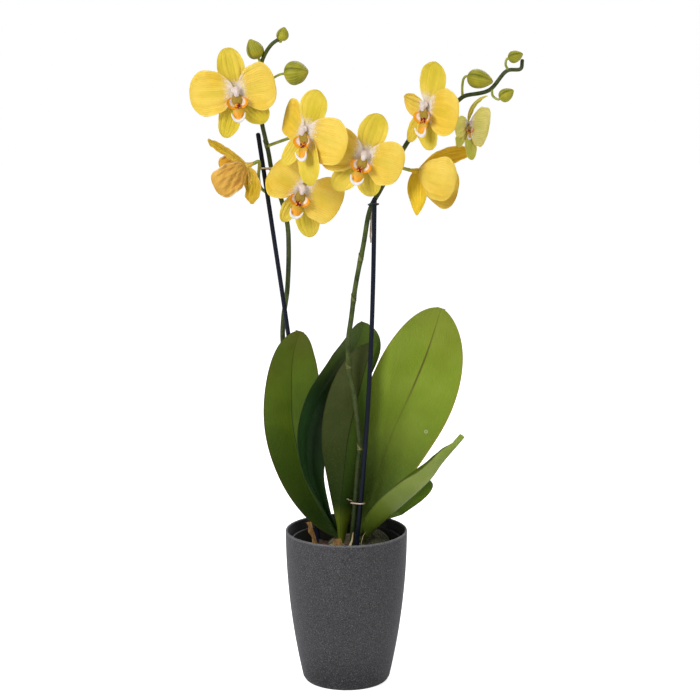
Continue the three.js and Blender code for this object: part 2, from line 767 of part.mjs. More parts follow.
function bark() {
  const foot = nurseryFoot + NURSERY_POT.wall + BARK.clear;
  const edge = (z) => nurseryInside(z) - BARK.clear - 0.4;
  const top = BARK.surface;
  const plug = lathe([[0, foot], [edge(foot), foot], [edge(top - 3), top - 3], [38, top], [0, top]], 18);
  const next = random(BARK.seed);
  const chips = Array.from({ length: BARK.chips }, () => chip(next));
  const mound = new THREE.SphereGeometry(1, MOUND.sides, MOUND.rings)
    .rotateX(Math.PI / 2)
    .scale(...MOUND.radii)
    .translate(...MOUND.at);
  let body = fuse([plug, mound, ...chips]);
  for (const cut of [...crownParts(ROOM), ...standingRods(ROOM)]) {
    body = body.subtract(solid(cut));
  }
  return geometryOf(largest(body));
}

// ---------------------------------------------------------------- ties and dried sheaths

// A wire loop round a stem and a stick at height z, with a twisted tail that points along tail.
function tie(stemName, stickName, z, wire, tail, tailRadius = wire * 0.9) {
  const stem = pointAtHeight(curveThrough(SPIKES[stemName].stem), z);
  const support = pointAtHeight(curveThrough(STICKS[stickName]), z);
  const line = support.clone().sub(stem).normalize();
  const side = new THREE.Vector3(-line.y, line.x, 0);
  const room = STEM_FOOT + wire + 2 * GAP;
  const path = [];
  for (const [centre, sense] of [[stem, -1], [support, 1]]) {
    for (const turn of [-80, -40, 0, 40, 80]) {
      path.push(
        centre
          .clone()
          .addScaledVector(line, sense * room * Math.cos(degrees(turn)))
          .addScaledVector(side, sense * room * Math.sin(degrees(turn))),
      );
    }
  }
  const ring = new THREE.CatmullRomCurve3(path, true, "centripetal");
  const loop = new THREE.TubeGeometry(ring, 16, wire, 4, true);
  const start = stem.clone().addScaledVector(line, -room);
  const twist = rod(new THREE.LineCurve3(start, start.clone().add(vector(tail))), () => tailRadius, 1, 4);
  return geometryOf(fuse([loop, twist]));
}

const SHEATHS = {
  dried_sheath_left: {
    midrib: [[-27, -12, 141], [-33, -11, 153], [-38, -9, 169]],
    across: [0.6, -0.8, 0],
    half: 4.5,
  },
  dried_sheath_front: {
    midrib: [[-9, -26, 136], [-8, -25, 145], [-10, -23, 155]],
    across: [1, 0.2, 0],
    half: 4.5,
  },
};

function sheath({ midrib, across, half }) {
  const shape = { midrib, across, half: [half, half], rise: [0.4, 0.4], fall: [0.4, 0.4], fold: [30, 10] };
  return blade(leafSurface(shape), 0.9, 5, 2);
}

// ---------------------------------------------------------------- assembly

piece("cover_pot", coverPot(), ANTHRACITE);
piece("nursery_pot", nurseryPot(), CLEAR_PLASTIC);
for (const [name, points] of Object.entries(STICKS)) {
  piece(name, stick(points), STICK_BLUE_BLACK);
}
for (const leaf of LEAVES) {
  piece(leaf.name, leafSolid(leaf), leaf.dark ? LEAF_DARK : LEAF_GREEN);
}
for (const [name, spec] of Object.entries(SHEATHS)) {
  piece(name, sheath(spec), DRY_SHEATH);
}
piece("crown_and_roots", crown(), ROOT_GREEN);
piece("bark", bark(), BARK_BROWN);
piece("tie_low", tie("spike_right", "stick_right", 190, 0.7, [-5, -7, 4]), TIE_TAN);
piece("tie_middle", tie("spike_right", "stick_right", 495, 0.7, [-1, 1, -34], 1.2), TIE_TAN);
piece("tie_left", tie("spike_left", "stick_left", 528, 0.9, [5, -2, 3]), TIE_TAN);
const lip = geometryOf(lipOf());
for (const bloom of BLOOMS) {
  const group = bloomGroup(bloom);
  orchid.add(group);
  piece(bloom.name + "_tepals", tepalsOf(bloom), PETAL_YELLOW, group);
  const lipSize = bloom.lip || 1;
  const part = piece(bloom.name + "_lip", lip, LIP_WHITE, group);
  part.scale.setScalar(lipSize);
  part.position.y = LIP_START * (lipSize - 1);
}

// A bud: an egg with three shallow furrows, its stalk end at the back.
function bud(spec) {
  const axis = vector(spec.axis).normalize();
  const turn = new THREE.Quaternion().setFromUnitVectors(new THREE.Vector3(0, 1, 0), axis);
  const egg = new THREE.SphereGeometry(1, 8, 5);
  const p = egg.attributes.position;
  for (let i = 0; i < p.count; i++) {
    const y = p.getY(i);
    const fat = 1 - 0.18 * y;
    const round = Math.atan2(p.getZ(i), p.getX(i));
    const furrow = 1 - 0.05 * Math.cos(3 * round);
    const wide = spec.radius * fat * furrow;
    p.setXYZ(i, p.getX(i) * wide, (y * spec.length) / 2, p.getZ(i) * wide);
  }
  return egg.applyQuaternion(turn).translate(...spec.at);
}

// A stalk from the stem to the back of a bud or bloom, which it reaches along the direction arrive.
function stalk(from, to, arrive, radius, reach, via = []) {
  const end = to.clone().addScaledVector(arrive, reach);
  const middle = via.length ? via.map(vector) : [from.clone().lerp(end, 0.55)];
  const curve = new THREE.CatmullRomCurve3([from, ...middle, end, to], false, "centripetal");
  return rod(curve, radius, 5, 4);
}

function spike(name, { stem, scales, buds }) {
  const curve = curveThrough(stem);
  const parts = [rod(curve, stemRadius, stemSteps(stem), STEM_SIDES, true)];
  for (const height of scales) {
    const t = shareAtHeight(curve, height);
    const tilt = new THREE.Quaternion().setFromUnitVectors(new THREE.Vector3(0, 1, 0), curve.getTangent(t));
    const r = stemRadius(t);
    const sleeve = new THREE.CylinderGeometry(r + 1.2, r + 0.4, 6, 6);
    parts.push(sleeve.applyQuaternion(tilt).translate(...curve.getPoint(t)));
  }
  for (const b of buds) {
    const axis = vector(b.axis).normalize();
    const back = vector(b.at).addScaledVector(axis, -b.length * 0.45);
    const from = pointAtHeight(curve, b.from);
    parts.push(bud(b));
    parts.push(stalk(from, back, axis.clone().negate(), () => 1.2, b.reach || 7, b.via));
  }
  for (const bloom of BLOOMS.filter((b) => b.spike === name)) {
    const group = bloomGroup(bloom);
    const back = vector([0, 1, 0]).applyEuler(group.rotation);
    const neck = vector(bloom.at).addScaledVector(back, BLOOM_NECK * bloom.size + GAP);
    const from = pointAtHeight(curve, bloom.from);
    parts.push(stalk(from, neck, back, (t) => 1.5 + 0.2 * t, bloom.reach || 9, bloom.via));
  }
  return geometryOf(fuse(parts));
}
for (const [name, spec] of Object.entries(SPIKES)) {
  piece(name, spike(name, spec), STEM_GREEN);
}

export default orchid;
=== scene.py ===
"""A potted moth orchid, dressed for rendering: eight yellow blooms on two spikes over six leaves.

Shapes are worked out in millimetres, +Z up, with the blooms facing -Y, and placed in metres.
Each fine piece repeats the form of the solid it stands for, with more points and surface detail.
"""

import math

import bpy
import numpy as np
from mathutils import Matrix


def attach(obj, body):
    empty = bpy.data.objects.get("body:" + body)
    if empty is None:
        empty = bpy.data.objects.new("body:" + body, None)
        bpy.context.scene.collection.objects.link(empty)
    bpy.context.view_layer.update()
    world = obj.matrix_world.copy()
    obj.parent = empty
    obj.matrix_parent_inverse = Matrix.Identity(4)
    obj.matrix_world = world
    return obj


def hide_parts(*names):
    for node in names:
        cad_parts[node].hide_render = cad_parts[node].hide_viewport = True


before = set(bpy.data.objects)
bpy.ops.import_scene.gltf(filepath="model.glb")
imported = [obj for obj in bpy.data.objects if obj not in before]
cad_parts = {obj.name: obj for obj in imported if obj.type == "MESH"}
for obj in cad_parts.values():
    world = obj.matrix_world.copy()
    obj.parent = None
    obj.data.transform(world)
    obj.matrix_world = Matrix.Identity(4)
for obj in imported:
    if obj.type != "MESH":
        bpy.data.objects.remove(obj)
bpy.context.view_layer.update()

MM = 0.001
GAP = 0.4  # clear space between pieces that lie against each other

# ------------------------------------------------------------------ camera and light

CAMERA = {"at": (0.0037, -1.950, 0.705), "pitch": 79.576, "lens": 100.8, "sensor": 36}
BACKDROP = 1.0  # how bright the backdrop is seen
AMBIENT = 0.31  # how much light it gives
FLOOR_GLOW = 0.74  # lifts the floor, as seen, to the white of the backdrop
FLOOR_REACH = 6.0  # metres from the pot to each edge of the floor
FLOOR_COLOURS = ((0.93, 0.93, 0.93), (0.97, 0.97, 0.97))
WHITE = (1, 1, 1, 1)
AREA_LIGHTS = {
    # name: place, where it points, size and power
    "key": ((-1.4, -1.6, 1.7), (0, 0, 0.4), 0.9, 42),
    "fill": ((1.6, -1.3, 1.1), (0, 0, 0.4), 1.1, 9),
    "back": ((0.5, 1.5, 1.5), (0, 0, 0.5), 1.2, 16),
}


def put_in_scene(name, data):
    """A new object with its data, at the origin."""
    obj = bpy.data.objects.new(name, data)
    bpy.context.scene.collection.objects.link(obj)
    return obj


def look_at(obj, target):
    """Turns a light so that it shines towards target."""
    way = np.array(target, float) - np.array(obj.location)
    flat = math.hypot(way[0], way[1])
    obj.rotation_euler = (math.pi / 2 + math.atan2(way[2], flat), 0, math.atan2(-way[0], way[1]))


def build_stage():
    """A camera at the photograph's viewing angle, soft studio lights and a plain pale floor."""
    scene = bpy.context.scene
    lens = bpy.data.cameras.new("camera")
    lens.lens, lens.sensor_width = CAMERA["lens"], CAMERA["sensor"]
    camera = put_in_scene("camera", lens)
    camera.location = CAMERA["at"]
    camera.rotation_euler = (math.radians(CAMERA["pitch"]), 0, 0)
    scene.camera = camera

    for name, (place, target, size, power) in AREA_LIGHTS.items():
        lamp = bpy.data.lights.new(name, "AREA")
        lamp.size, lamp.energy = size, power
        light = put_in_scene(name, lamp)
        light.location = place
        look_at(light, target)

    world = bpy.data.worlds.new("studio")
    world.use_nodes = True
    tree = world.node_tree
    background = tree.nodes["Background"]
    background.inputs["Color"].default_value = WHITE
    bright = scaled(seen_directly(tree), BACKDROP - AMBIENT, AMBIENT)
    tree.links.new(bright.socket, background.inputs["Strength"])
    scene.world = world
    scene.view_settings.view_transform = "Standard"

    material, tree = surface_shader("floor", 0.9, 0.1, emission_color=WHITE)
    grain = mix(noise(tree, 300, 2), *FLOOR_COLOURS)
    tree.links.new(grain.socket, shader_input(tree, "Base Color"))
    tree.links.new((seen_directly(tree) * FLOOR_GLOW).socket, shader_input(tree, "Emission Strength"))
    mesh = bpy.data.meshes.new("floor")
    corners = [(-1, -1), (1, -1), (1, 1), (-1, 1)]
    mesh.from_pydata([(x * FLOOR_REACH, y * FLOOR_REACH, 0) for x, y in corners], [], [(0, 1, 2, 3)])
    mesh.materials.append(material)
    floor = put_in_scene("floor", mesh)


# ------------------------------------------------------------------ node helpers


class Value:
    """A node's output: a number or colour that varies over a surface. Sums and products make Math nodes."""

    def __init__(self, socket):
        self.socket, self.tree = socket, socket.id_data

    def __add__(self, other):
        return calc("ADD", self, other)

    def __sub__(self, other):
        return calc("SUBTRACT", self, other)

    def __rsub__(self, other):
        return calc("SUBTRACT", other, self)

    def __mul__(self, other):
        return calc("MULTIPLY", self, other)

    def __pow__(self, other):
        return calc("POWER", self, other)

    def __abs__(self):
        return calc("ABSOLUTE", self)


def tree_of(*values):
    """The node tree that the first Value belongs to."""
    return next(value.tree for value in values if isinstance(value, Value))


def add(tree, kind, inputs=None, output=0, **settings):
    """An output of a new node with its settings and inputs; an input is a Value or plain."""
    node = tree.nodes.new(kind)
    for key, value in settings.items():
        setattr(node, key, value)
    for key, value in (inputs or {}).items():
        if isinstance(value, Value):
            tree.links.new(value.socket, node.inputs[key])
        elif node.inputs[key].type == "RGBA" and len(value) == 3:
            node.inputs[key].default_value = (*value, 1)
        else:
            node.inputs[key].default_value = value
    return Value(node.outputs[output])


def calc(operation, *values, clamp=False):
    """One Math node."""
    inputs = dict(enumerate(values))
    return add(tree_of(*values), "ShaderNodeMath", inputs, operation=operation, use_clamp=clamp)


def scaled(value, factor, offset):
    """value * factor + offset, in one node."""
    return calc("MULTIPLY_ADD", value, factor, offset)


def mix(share, low, high):
    """Colour low where share is 0, high where it is 1."""
    inputs = {0: share, 6: low, 7: high}
    return add(tree_of(share, low, high), "ShaderNodeMix", inputs, 2, data_type="RGBA")


def lay(under, mask, share, over):
    """Colour over laid on colour under, at the share given where the mask is 1."""
    return mix(mask * share, under, over)


def spread(value, low, high, out_low=0.0, out_high=1.0):
    """value from low to high, mapped smoothly to out_low..out_high."""
    inputs = {"Value": value, "From Min": low, "From Max": high, "To Min": out_low, "To Max": out_high}
    return add(value.tree, "ShaderNodeMapRange", inputs, interpolation_type="SMOOTHSTEP")


def step_at(value, place, half_width, before=0.0, after=1.0):
    """A smooth step at a place; a half width below zero turns it round."""
    return spread(value, place - half_width, place + half_width, before, after)


def coords(tree):
    """Where a point lies on the plant, in metres."""
    return add(tree, "ShaderNodeTexCoord", output="Object")


def height_on_plant(tree):
    """A point's height above the pot's foot, in metres."""
    return add(tree, "ShaderNodeSeparateXYZ", {0: coords(tree)}, 2)


def seen_directly(tree):
    """1 where the backdrop or floor is seen, 0 where it only lights something."""
    return add(tree, "ShaderNodeLightPath", output="Is Camera Ray")


def noise(tree, scale, detail=3, roughness=0.5, vector=None):
    """Cloudy noise between 0 and 1, in the plant's own coordinates unless a vector is given."""
    inputs = {"Vector": vector or coords(tree), "Scale": scale, "Detail": detail, "Roughness": roughness}
    return add(tree, "ShaderNodeTexNoise", inputs, "Fac")


def blade_place(tree):
    """The piece's own UV: shares along the blade and across it, and distance from its middle line, 0 to 1."""
    blade = add(tree, "ShaderNodeUVMap", uv_map="blade")
    along, across = (add(tree, "ShaderNodeSeparateXYZ", {0: blade}, axis) for axis in (0, 1))
    return along, across, abs(scaled(across, 2.0, -1.0))


def side_value(tree):
    """The piece's side attribute: 1 on a blade's upper or front face or in a bud's furrow, 0 elsewhere."""
    return add(tree, "ShaderNodeAttribute", output="Fac", attribute_name="side")


def shader_input(tree, label):
    """An input of a material's shader."""
    return tree.nodes["Principled BSDF"].inputs[label]


def surface_shader(name, roughness, specular, **fixed):
    """A material and its node tree; fixed holds the shader's values that are the same all over."""
    material = bpy.data.materials.new(name)
    material.use_nodes = True
    tree = material.node_tree
    shader_input(tree, "Roughness").default_value = roughness
    shader_input(tree, "Specular IOR Level").default_value = specular
    for key, value in fixed.items():
        shader_input(tree, key.replace("_", " ").title()).default_value = value
    return material, tree


def finished(material, colour, height, distance, strength=1.0):
    """The material with its colour, and with bump from a height between 0 and 1, distance metres high."""
    tree = material.node_tree
    bump = add(tree, "ShaderNodeBump", {"Height": height, "Distance": distance, "Strength": strength})
    tree.links.new(colour.socket, shader_input(tree, "Base Color"))
    tree.links.new(bump.socket, shader_input(tree, "Normal"))
    return material


def make_group(name, labels, output):
    """An empty node group with named numbers as its inputs and one as its output."""
    group = bpy.data.node_groups.new(name, "ShaderNodeTree")
    for label in labels:
        group.interface.new_socket(label, in_out="INPUT", socket_type="NodeSocketFloat")
    group.interface.new_socket(output, in_out="OUTPUT", socket_type="NodeSocketFloat")
    sources = [Value(socket) for socket in list(group.nodes.new("NodeGroupInput").outputs)[: len(labels)]]
    return group, sources, group.nodes.new("NodeGroupOutput").inputs[0]


def vein_group():
    """Fine lines along a blade, count of them across it, that waver a little: 1 on a line, 0 between."""
    group, (across, count, waver), result = make_group("veins", ("Across", "Count", "Waver"), "Line")
    turn = (across + (noise(group, 90, 2) - 0.5) * waver) * count
    line = (1.0 - abs(calc("SINE", turn * math.pi))) ** 3.0
    group.links.new(line.socket, result)
    return group


def speckle_group():
    """Scattered small spots: 1 in a spot, 0 elsewhere. Size is the share of the surface they take."""
    group, (scale, size), result = make_group("speckle", ("Scale", "Size"), "Spot")
    spot = calc("MULTIPLY", noise(group, scale, 1) - (0.75 - size), 12.0, clamp=True)
    group.links.new(spot.socket, result)
    return group


VEINS = vein_group()
SPECKLE = speckle_group()


def veins(across, count, waver):
    """Lines along a blade, count of them across it."""
    return add(across.tree, "ShaderNodeGroup", {0: across, 1: count, 2: waver}, node_tree=VEINS)


def speckle(tree, scale, size):
    """Small spots that take the share size of the surface."""
    return add(tree, "ShaderNodeGroup", {0: scale, 1: size}, node_tree=SPECKLE)


# ------------------------------------------------------------------ materials


def pot_material():
    """Matt anthracite with painted foot shade and rim highlight, a fine two-tone speckle and a sandy grain.
    """
    material, tree = surface_shader(
        "anthracite", 0.6, 0.3, sheen_weight=0.12, sheen_roughness=0.45, sheen_tint=(0.86, 0.84, 1.0, 1)
    )
    height = height_on_plant(tree)
    base = mix(noise(tree, 14, 2), (0.042, 0.041, 0.044), (0.052, 0.051, 0.055))
    # painted shade: darker towards the foot
    base = mix(spread(height, 0.050, 0.004), base, (0.019, 0.019, 0.021))
    # painted highlight: a paler band along the rim
    base = mix(spread(height, 0.1562, 0.1584), base, (0.145, 0.145, 0.152))
    pale = lay(base, speckle(tree, 1150, 0.20), 0.75, (0.135, 0.133, 0.138))
    dark = lay(pale, speckle(tree, 940, 0.20), 0.8, (0.014, 0.014, 0.016))
    return finished(material, dark, noise(tree, 900, 3, 0.6), 0.0003, 0.7)


def nursery_material():
    """Thin grey-olive plastic with faint flow marks."""
    material, tree = surface_shader("nursery_plastic", 0.5, 0.2)
    cloud = noise(tree, 35)
    return finished(material, mix(cloud, (0.009, 0.009, 0.007), (0.026, 0.025, 0.018)), cloud, 0.0004)


def stick_material():
    """Blue-black coating with fine lengthwise streaks."""
    material, tree = surface_shader("stick_coating", 0.38, 0.18)
    line = veins(blade_place(tree)[1], 9, 0.15)
    cloud = noise(tree, 120)
    colour = mix(scaled(line, 0.4, cloud * 0.5), (0.003, 0.005, 0.013), (0.010, 0.014, 0.030))
    return finished(material, colour, line + cloud, 0.00012, 0.5)


def ring_spot(tree, centre, radius):
    """A small pale ring on a leaf: 1 on the ring, less inside it, 0 beyond."""
    away = add(tree, "ShaderNodeVectorMath", {0: coords(tree), 1: centre}, operation="SUBTRACT")
    flat = add(tree, "ShaderNodeVectorMath", {0: away, 1: (1.0, 0.0, 1.0)}, operation="MULTIPLY")
    reach = add(tree, "ShaderNodeVectorMath", {0: flat}, "Value", operation="LENGTH")
    return spread(reach, radius * 1.2, radius) * spread(reach, radius * 0.35, radius * 0.8, 0.0, 0.8)


def leaf_material(name, look):
    """Waxy blade: veins, midrib, fine margin line, tinted tip, duller underside, and painted shade at its
    foot.
    """
    material, tree = surface_shader(
        name, look["gloss"], look["shine"], coat_weight=look["sheen"], coat_roughness=0.2
    )
    along, across, off_middle = blade_place(tree)
    cloud = noise(tree, 22, 3, 0.55)
    line = veins(across, 34, 0.012)
    # painted shade: the foot darkens towards the crown
    foot = spread(along, look["foot_shade_end"], 0.04) * 0.92
    warm = spread(along + noise(tree, 7, 2), look["warm_from"], look["warm_from"] + 0.35)
    half = step_at(across, look["half_edge"], -0.05)
    half = half * step_at(along, look["half_end"], -0.1, 0.0, look["half_share"])
    body = mix(spread(cloud, 0.3, 0.7), look["main"], look["pale"])
    body = mix(foot, body, look["foot"])
    body = lay(body, warm, look["warmth"], look["tip"])
    body = lay(body, line, 0.22, look["vein"])
    body = mix(half, body, look["half"])
    under = mix(spread(cloud, 0.25, 0.75), look["under"], look["under_pale"])
    under = mix(foot, mix(half, under, look["half"]), look["foot"])
    under = lay(under, line, 0.25, look["vein"])
    colour = mix(side_value(tree), under, body)
    colour = mix(step_at(along, look["petiole_end"], -0.05), colour, look["petiole"])
    rib = spread(off_middle, look["rib_width"], 0.008) * spread(along, 1.0, 0.75, 0.4, 0.85)
    colour = lay(colour, rib, step_at(along, look["rib_from"], 0.1, 0.3, 1.0), look["rib"])
    colour = lay(colour, spread(off_middle, 0.95, 0.985), look["margin_share"], look["margin"])
    colour = lay(colour, speckle(tree, 900, 0.18), 0.18, look["pale"])
    if "spot" in look:
        colour = mix(ring_spot(tree, look["spot"], look["spot_radius"]), colour, (0.45, 0.50, 0.28))
    height = scaled(line, -0.7, noise(tree, 900, 2) * 0.35)
    return finished(material, colour, height, 0.00022, 0.7)


def petal_material(name, look):
    """Soft petal: a powdery white heart breaking into grains, fanned veins, greener middle, pale margin."""
    material, tree = surface_shader(
        name, 0.5, 0.22,
        subsurface_weight=0.1, subsurface_scale=1.0, subsurface_radius=(0.0016, 0.0011, 0.0002),
    )
    along, across, off_middle = blade_place(tree)
    cloud = noise(tree, 60, 3, 0.55)
    line = veins(across, look["veins"], 0.05)
    net = veins(scaled(off_middle, -0.25, along), 17, 0.35)
    patchy = spread(noise(tree, 130, 2), 0.36, 0.62, 0.15, 1.0)
    # deeper patches: the petal's own uneven tone, and painted shade of its soft folds
    tone_and_painted_shade = spread(scaled(cloud, 0.5, noise(tree, 26, 2)), 0.55, 0.95)
    body = mix(tone_and_painted_shade, look["main"], look["deep"])
    middle = spread(off_middle, 0.45, 0.0) * spread(along, 0.95, 0.45)
    body = lay(body, middle, look["green_share"], look["green"])
    body = lay(body, line * patchy, look["vein_share"], look["vein"])
    body = lay(body, net * patchy, 0.22, look["vein"])
    near = spread(scaled(cloud, 0.16, along), 0.60, 0.20)
    body = lay(body, speckle(tree, 1700, 0.20) * near, 0.45, look["fleck"])
    body = lay(body, spread(off_middle, 0.86, 1.0), look["margin_share"], look["margin"])
    back = mix(0.3, body, look["back"])
    powder = scaled(noise(tree, 1100, 2) - 0.5, 0.55, along)
    body = lay(body, spread(powder, look["heart"] + 0.12, look["heart"] - 0.03), 0.92, (0.88, 0.79, 0.75))
    height = scaled(line, -0.8, noise(tree, 420) * 0.7)
    return finished(material, mix(side_value(tree), back, body), height, 0.00042, 0.8)


def stem_material():
    """Olive green stem, darker low down, with brown-purple flushes and pale specks."""
    material, tree = surface_shader("stem_skin", 0.38, 0.25)
    cloud = noise(tree, 55, 4, 0.6)
    colour = mix(spread(cloud, 0.35, 0.7), (0.024, 0.042, 0.006), (0.090, 0.122, 0.024))
    colour = mix(spread(height_on_plant(tree), 0.40, 0.20, 0.0, 0.72), colour, (0.012, 0.022, 0.005))
    colour = mix(spread(noise(tree, 16, 2), 0.52, 0.72, 0.0, 0.6), colour, (0.020, 0.018, 0.009))
    colour = lay(colour, speckle(tree, 1600, 0.2), 0.35, (0.16, 0.18, 0.06))
    return finished(material, colour, veins(blade_place(tree)[1], 8, 0.2) + cloud, 0.00015, 0.6)


def pedicel_material():
    """Paler yellow-green stalk."""
    material, tree = surface_shader(
        "pedicel_skin", 0.45, 0.25, subsurface_weight=0.06, subsurface_radius=(0.001, 0.001, 0.0004)
    )
    cloud = noise(tree, 90)
    colour = mix(spread(cloud, 0.3, 0.7), (0.20, 0.25, 0.020), (0.40, 0.42, 0.08))
    return finished(material, colour, cloud, 0.00015, 0.5)


def bud_material():
    """Olive bud: painted shade in its furrows, yellower towards the tip, with fine lengthwise lines."""
    material, tree = surface_shader(
        "bud_skin", 0.45, 0.22, subsurface_weight=0.06, subsurface_radius=(0.002, 0.0015, 0.0004)
    )
    along, across, _ = blade_place(tree)
    line = veins(across, 30, 0.04)
    cloud = noise(tree, 80)
    body = mix(spread(cloud, 0.3, 0.7), (0.25, 0.25, 0.006), (0.43, 0.39, 0.018))
    body = mix(spread(along, 0.65, 1.0, 0.0, 0.5), body, (0.50, 0.42, 0.04))
    body = lay(body, line, 0.35, (0.10, 0.12, 0.004))
    body = lay(body, veins(across, 11, 0.06), 0.5, (0.62, 0.58, 0.16))
    # painted shade in the furrows
    body = lay(body, side_value(tree), 0.8, (0.060, 0.075, 0.003))
    return finished(material, body, scaled(line, -0.6, cloud), 0.0003, 0.6)


def lip_material(name, stops, stripe, spots, roughness):
    """Lip part coloured by its distance from base to edge; stripe and spots set its markings."""
    material, tree = surface_shader(
        name, roughness, 0.3, subsurface_weight=0.05, subsurface_radius=(0.0010, 0.0008, 0.0004)
    )
    along, across, _ = blade_place(tree)
    cloud = noise(tree, 260)
    ramp = add(tree, "ShaderNodeValToRGB", {0: scaled(cloud - 0.5, 0.16, along)})
    elements = ramp.socket.node.color_ramp.elements
    for element, (position, colour) in zip(elements, (stops[0], stops[-1])):
        element.position, element.color = position, (*colour, 1)
    for position, colour in stops[1:-1]:
        elements.new(position).color = (*colour, 1)
    line = veins(across, 13, 0.08)
    body = lay(ramp, line, stripe, (0.30, 0.06, 0.02))
    body = lay(body, speckle(tree, 560, 0.34), spots, (0.18, 0.003, 0.010))
    return finished(material, body, line + cloud, 0.0002, 0.5)


def fibre_material(name, low, high, roughness, scale):
    """Rough natural matter: two colours in cloudy bands with a coarse surface."""
    material, tree = surface_shader(name, roughness, 0.3)
    stretched = add(tree, "ShaderNodeMapping", {0: coords(tree), 3: (1.0, 1.0, 0.35)})
    cloud = noise(tree, scale, 5, 0.65, stretched)
    blend = scaled(noise(tree, scale * 6, 3, 0.6, stretched), 0.35, cloud * 0.75)
    return finished(material, mix(spread(blend, 0.35, 0.72), low, high), blend, 0.0012, 0.8)


def mound_material():
    """Olive-grey crumbs with whitish flecks."""
    material, tree = surface_shader("growing_medium", 0.9, 0.2)
    crumb = noise(tree, 620, 4, 0.65)
    colour = mix(spread(crumb, 0.34, 0.66), (0.032, 0.032, 0.016), (0.105, 0.102, 0.058))
    colour = lay(colour, speckle(tree, 420, 0.05), 0.9, (0.52, 0.49, 0.42))
    return finished(material, colour, crumb, 0.0012, 0.9)


def tie_material():
    """Cream paper over wire, with a faint twist."""
    material, tree = surface_shader("tie_paper", 0.6, 0.35)
    along, across, _ = blade_place(tree)
    twist = calc("SINE", scaled(along, 26.0, across) * 6.283)
    colour = mix(scaled(twist, 0.2, noise(tree, 400, 2)), (0.42, 0.27, 0.17), (0.80, 0.66, 0.52))
    return finished(material, colour, twist, 0.0001, 0.5)


# ------------------------------------------------------------------ curves and meshes


def spline(points):
    """The centripetal Catmull-Rom curve through points, t from 0 to 1 with equal shares between them."""
    p = np.asarray(points, float)
    p = np.vstack([2 * p[0] - p[1], p, 2 * p[-1] - p[-2]])
    gap = np.sqrt(np.linalg.norm(np.diff(p, axis=0), axis=1))[:, None]

    def at(t):
        t = np.clip(np.asarray(t, float), 0, 1)
        shape = t.shape
        t = t.ravel() * (len(p) - 3)
        i = np.minimum(t.astype(int), len(p) - 4)
        w = (t - i)[:, None]
        a, b, c, d = p[i], p[i + 1], p[i + 2], p[i + 3]
        before, here, after = gap[i], gap[i + 1], gap[i + 2]
        first = ((b - a) / before - (c - a) / (before + here) + (c - b) / here) * here
        last = ((c - b) / here - (d - b) / (here + after) + (d - c) / after) * here
        bend = 3 * (c - b) - 2 * first - last
        twist = 2 * (b - c) + first + last
        return (b + first * w + bend * w**2 + twist * w**3).reshape(*shape, 3)

    return at


def by_length(at):
    """The same curve, with t measured along its length."""
    t = np.linspace(0, 1, 400)
    length = np.concatenate([[0], np.cumsum(np.linalg.norm(np.diff(at(t), axis=0), axis=1))])
    return lambda u: at(np.interp(u, length / length[-1], t))


def unit(v):
    """Vectors made one long."""
    return v / np.linalg.norm(v, axis=-1, keepdims=True)


def at_height(at, z):
    """Where a curve that only climbs reaches height z."""
    t = np.linspace(0, 1, 4000)
    return float(np.interp(z, at(t)[:, 2], t))


def signed_volume(points, quads, triangles):
    """Six times the volume inside a closed skin, below zero where its faces point inwards."""
    corners = points[np.vstack([quads[:, [0, 1, 2]], quads[:, [0, 2, 3]], triangles])]
    return np.einsum("ij,ij->", corners[:, 0], np.cross(corners[:, 1], corners[:, 2]))


class Piece:
    """Closed shapes gathered into one mesh, with UVs, a side value and a material for each.

    A shape is its points, quads, triangles, a UV for each point and a side value for each point.
    """

    def __init__(self):
        self.points, self.faces, self.uv, self.side, self.material = [], [], [], [], []
        self.count = 0

    def add(self, shape, material=0, place=lambda p: p):
        """Takes a closed shape in, faces outwards; place moves its points."""
        points, quads, triangles, uv, side = shape
        points = place(points)
        order = 1 if signed_volume(points, quads, triangles) > 0 else -1
        for faces in (quads, triangles):
            self.faces += (faces[:, ::order] + self.count).tolist()
        self.points.append(points)
        self.uv.append(uv)
        self.side.append(side)
        self.material += [material] * (len(quads) + len(triangles))
        self.count += len(points)
        return self

    def build(self, materials, slot, *nodes):
        """The finished object, in metres, standing for the CAD nodes named and called after the first."""
        name = "fine_" + nodes[0]
        mesh = bpy.data.meshes.new(name)
        mesh.from_pydata((np.vstack(self.points) * MM).tolist(), [], self.faces)
        uv = np.vstack(self.uv)
        corner = np.empty(len(mesh.loops), dtype=np.int32)
        mesh.loops.foreach_get("vertex_index", corner)
        layer = mesh.uv_layers.new(name="blade")
        layer.data.foreach_set("uv", uv[corner].astype(np.float32).ravel())
        side = mesh.attributes.new("side", "FLOAT", "POINT")
        side.data.foreach_set("value", np.concatenate(self.side).astype(np.float32))
        for material in materials:
            mesh.materials.append(material)
        mesh.polygons.foreach_set("material_index", np.array(self.material, dtype=np.int32))
        mesh.polygons.foreach_set("use_smooth", np.full(len(mesh.polygons), True))
        mesh.update()
        obj = put_in_scene(name, mesh)
        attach(obj, "root")
        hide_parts(*nodes)


NO_TRIANGLES = np.zeros((0, 3), dtype=int)


def grid_quads(rows, columns, closed=False):
    """Quads between the neighbours of a grid of points; closed joins the last column to the first."""
    i, j = np.meshgrid(np.arange(rows - 1), np.arange(columns if closed else columns - 1), indexing="ij")
    here, beside = i * columns + j, i * columns + (j + 1) % columns
    return np.stack([here, beside, beside + columns, here + columns], -1).reshape(-1, 4)


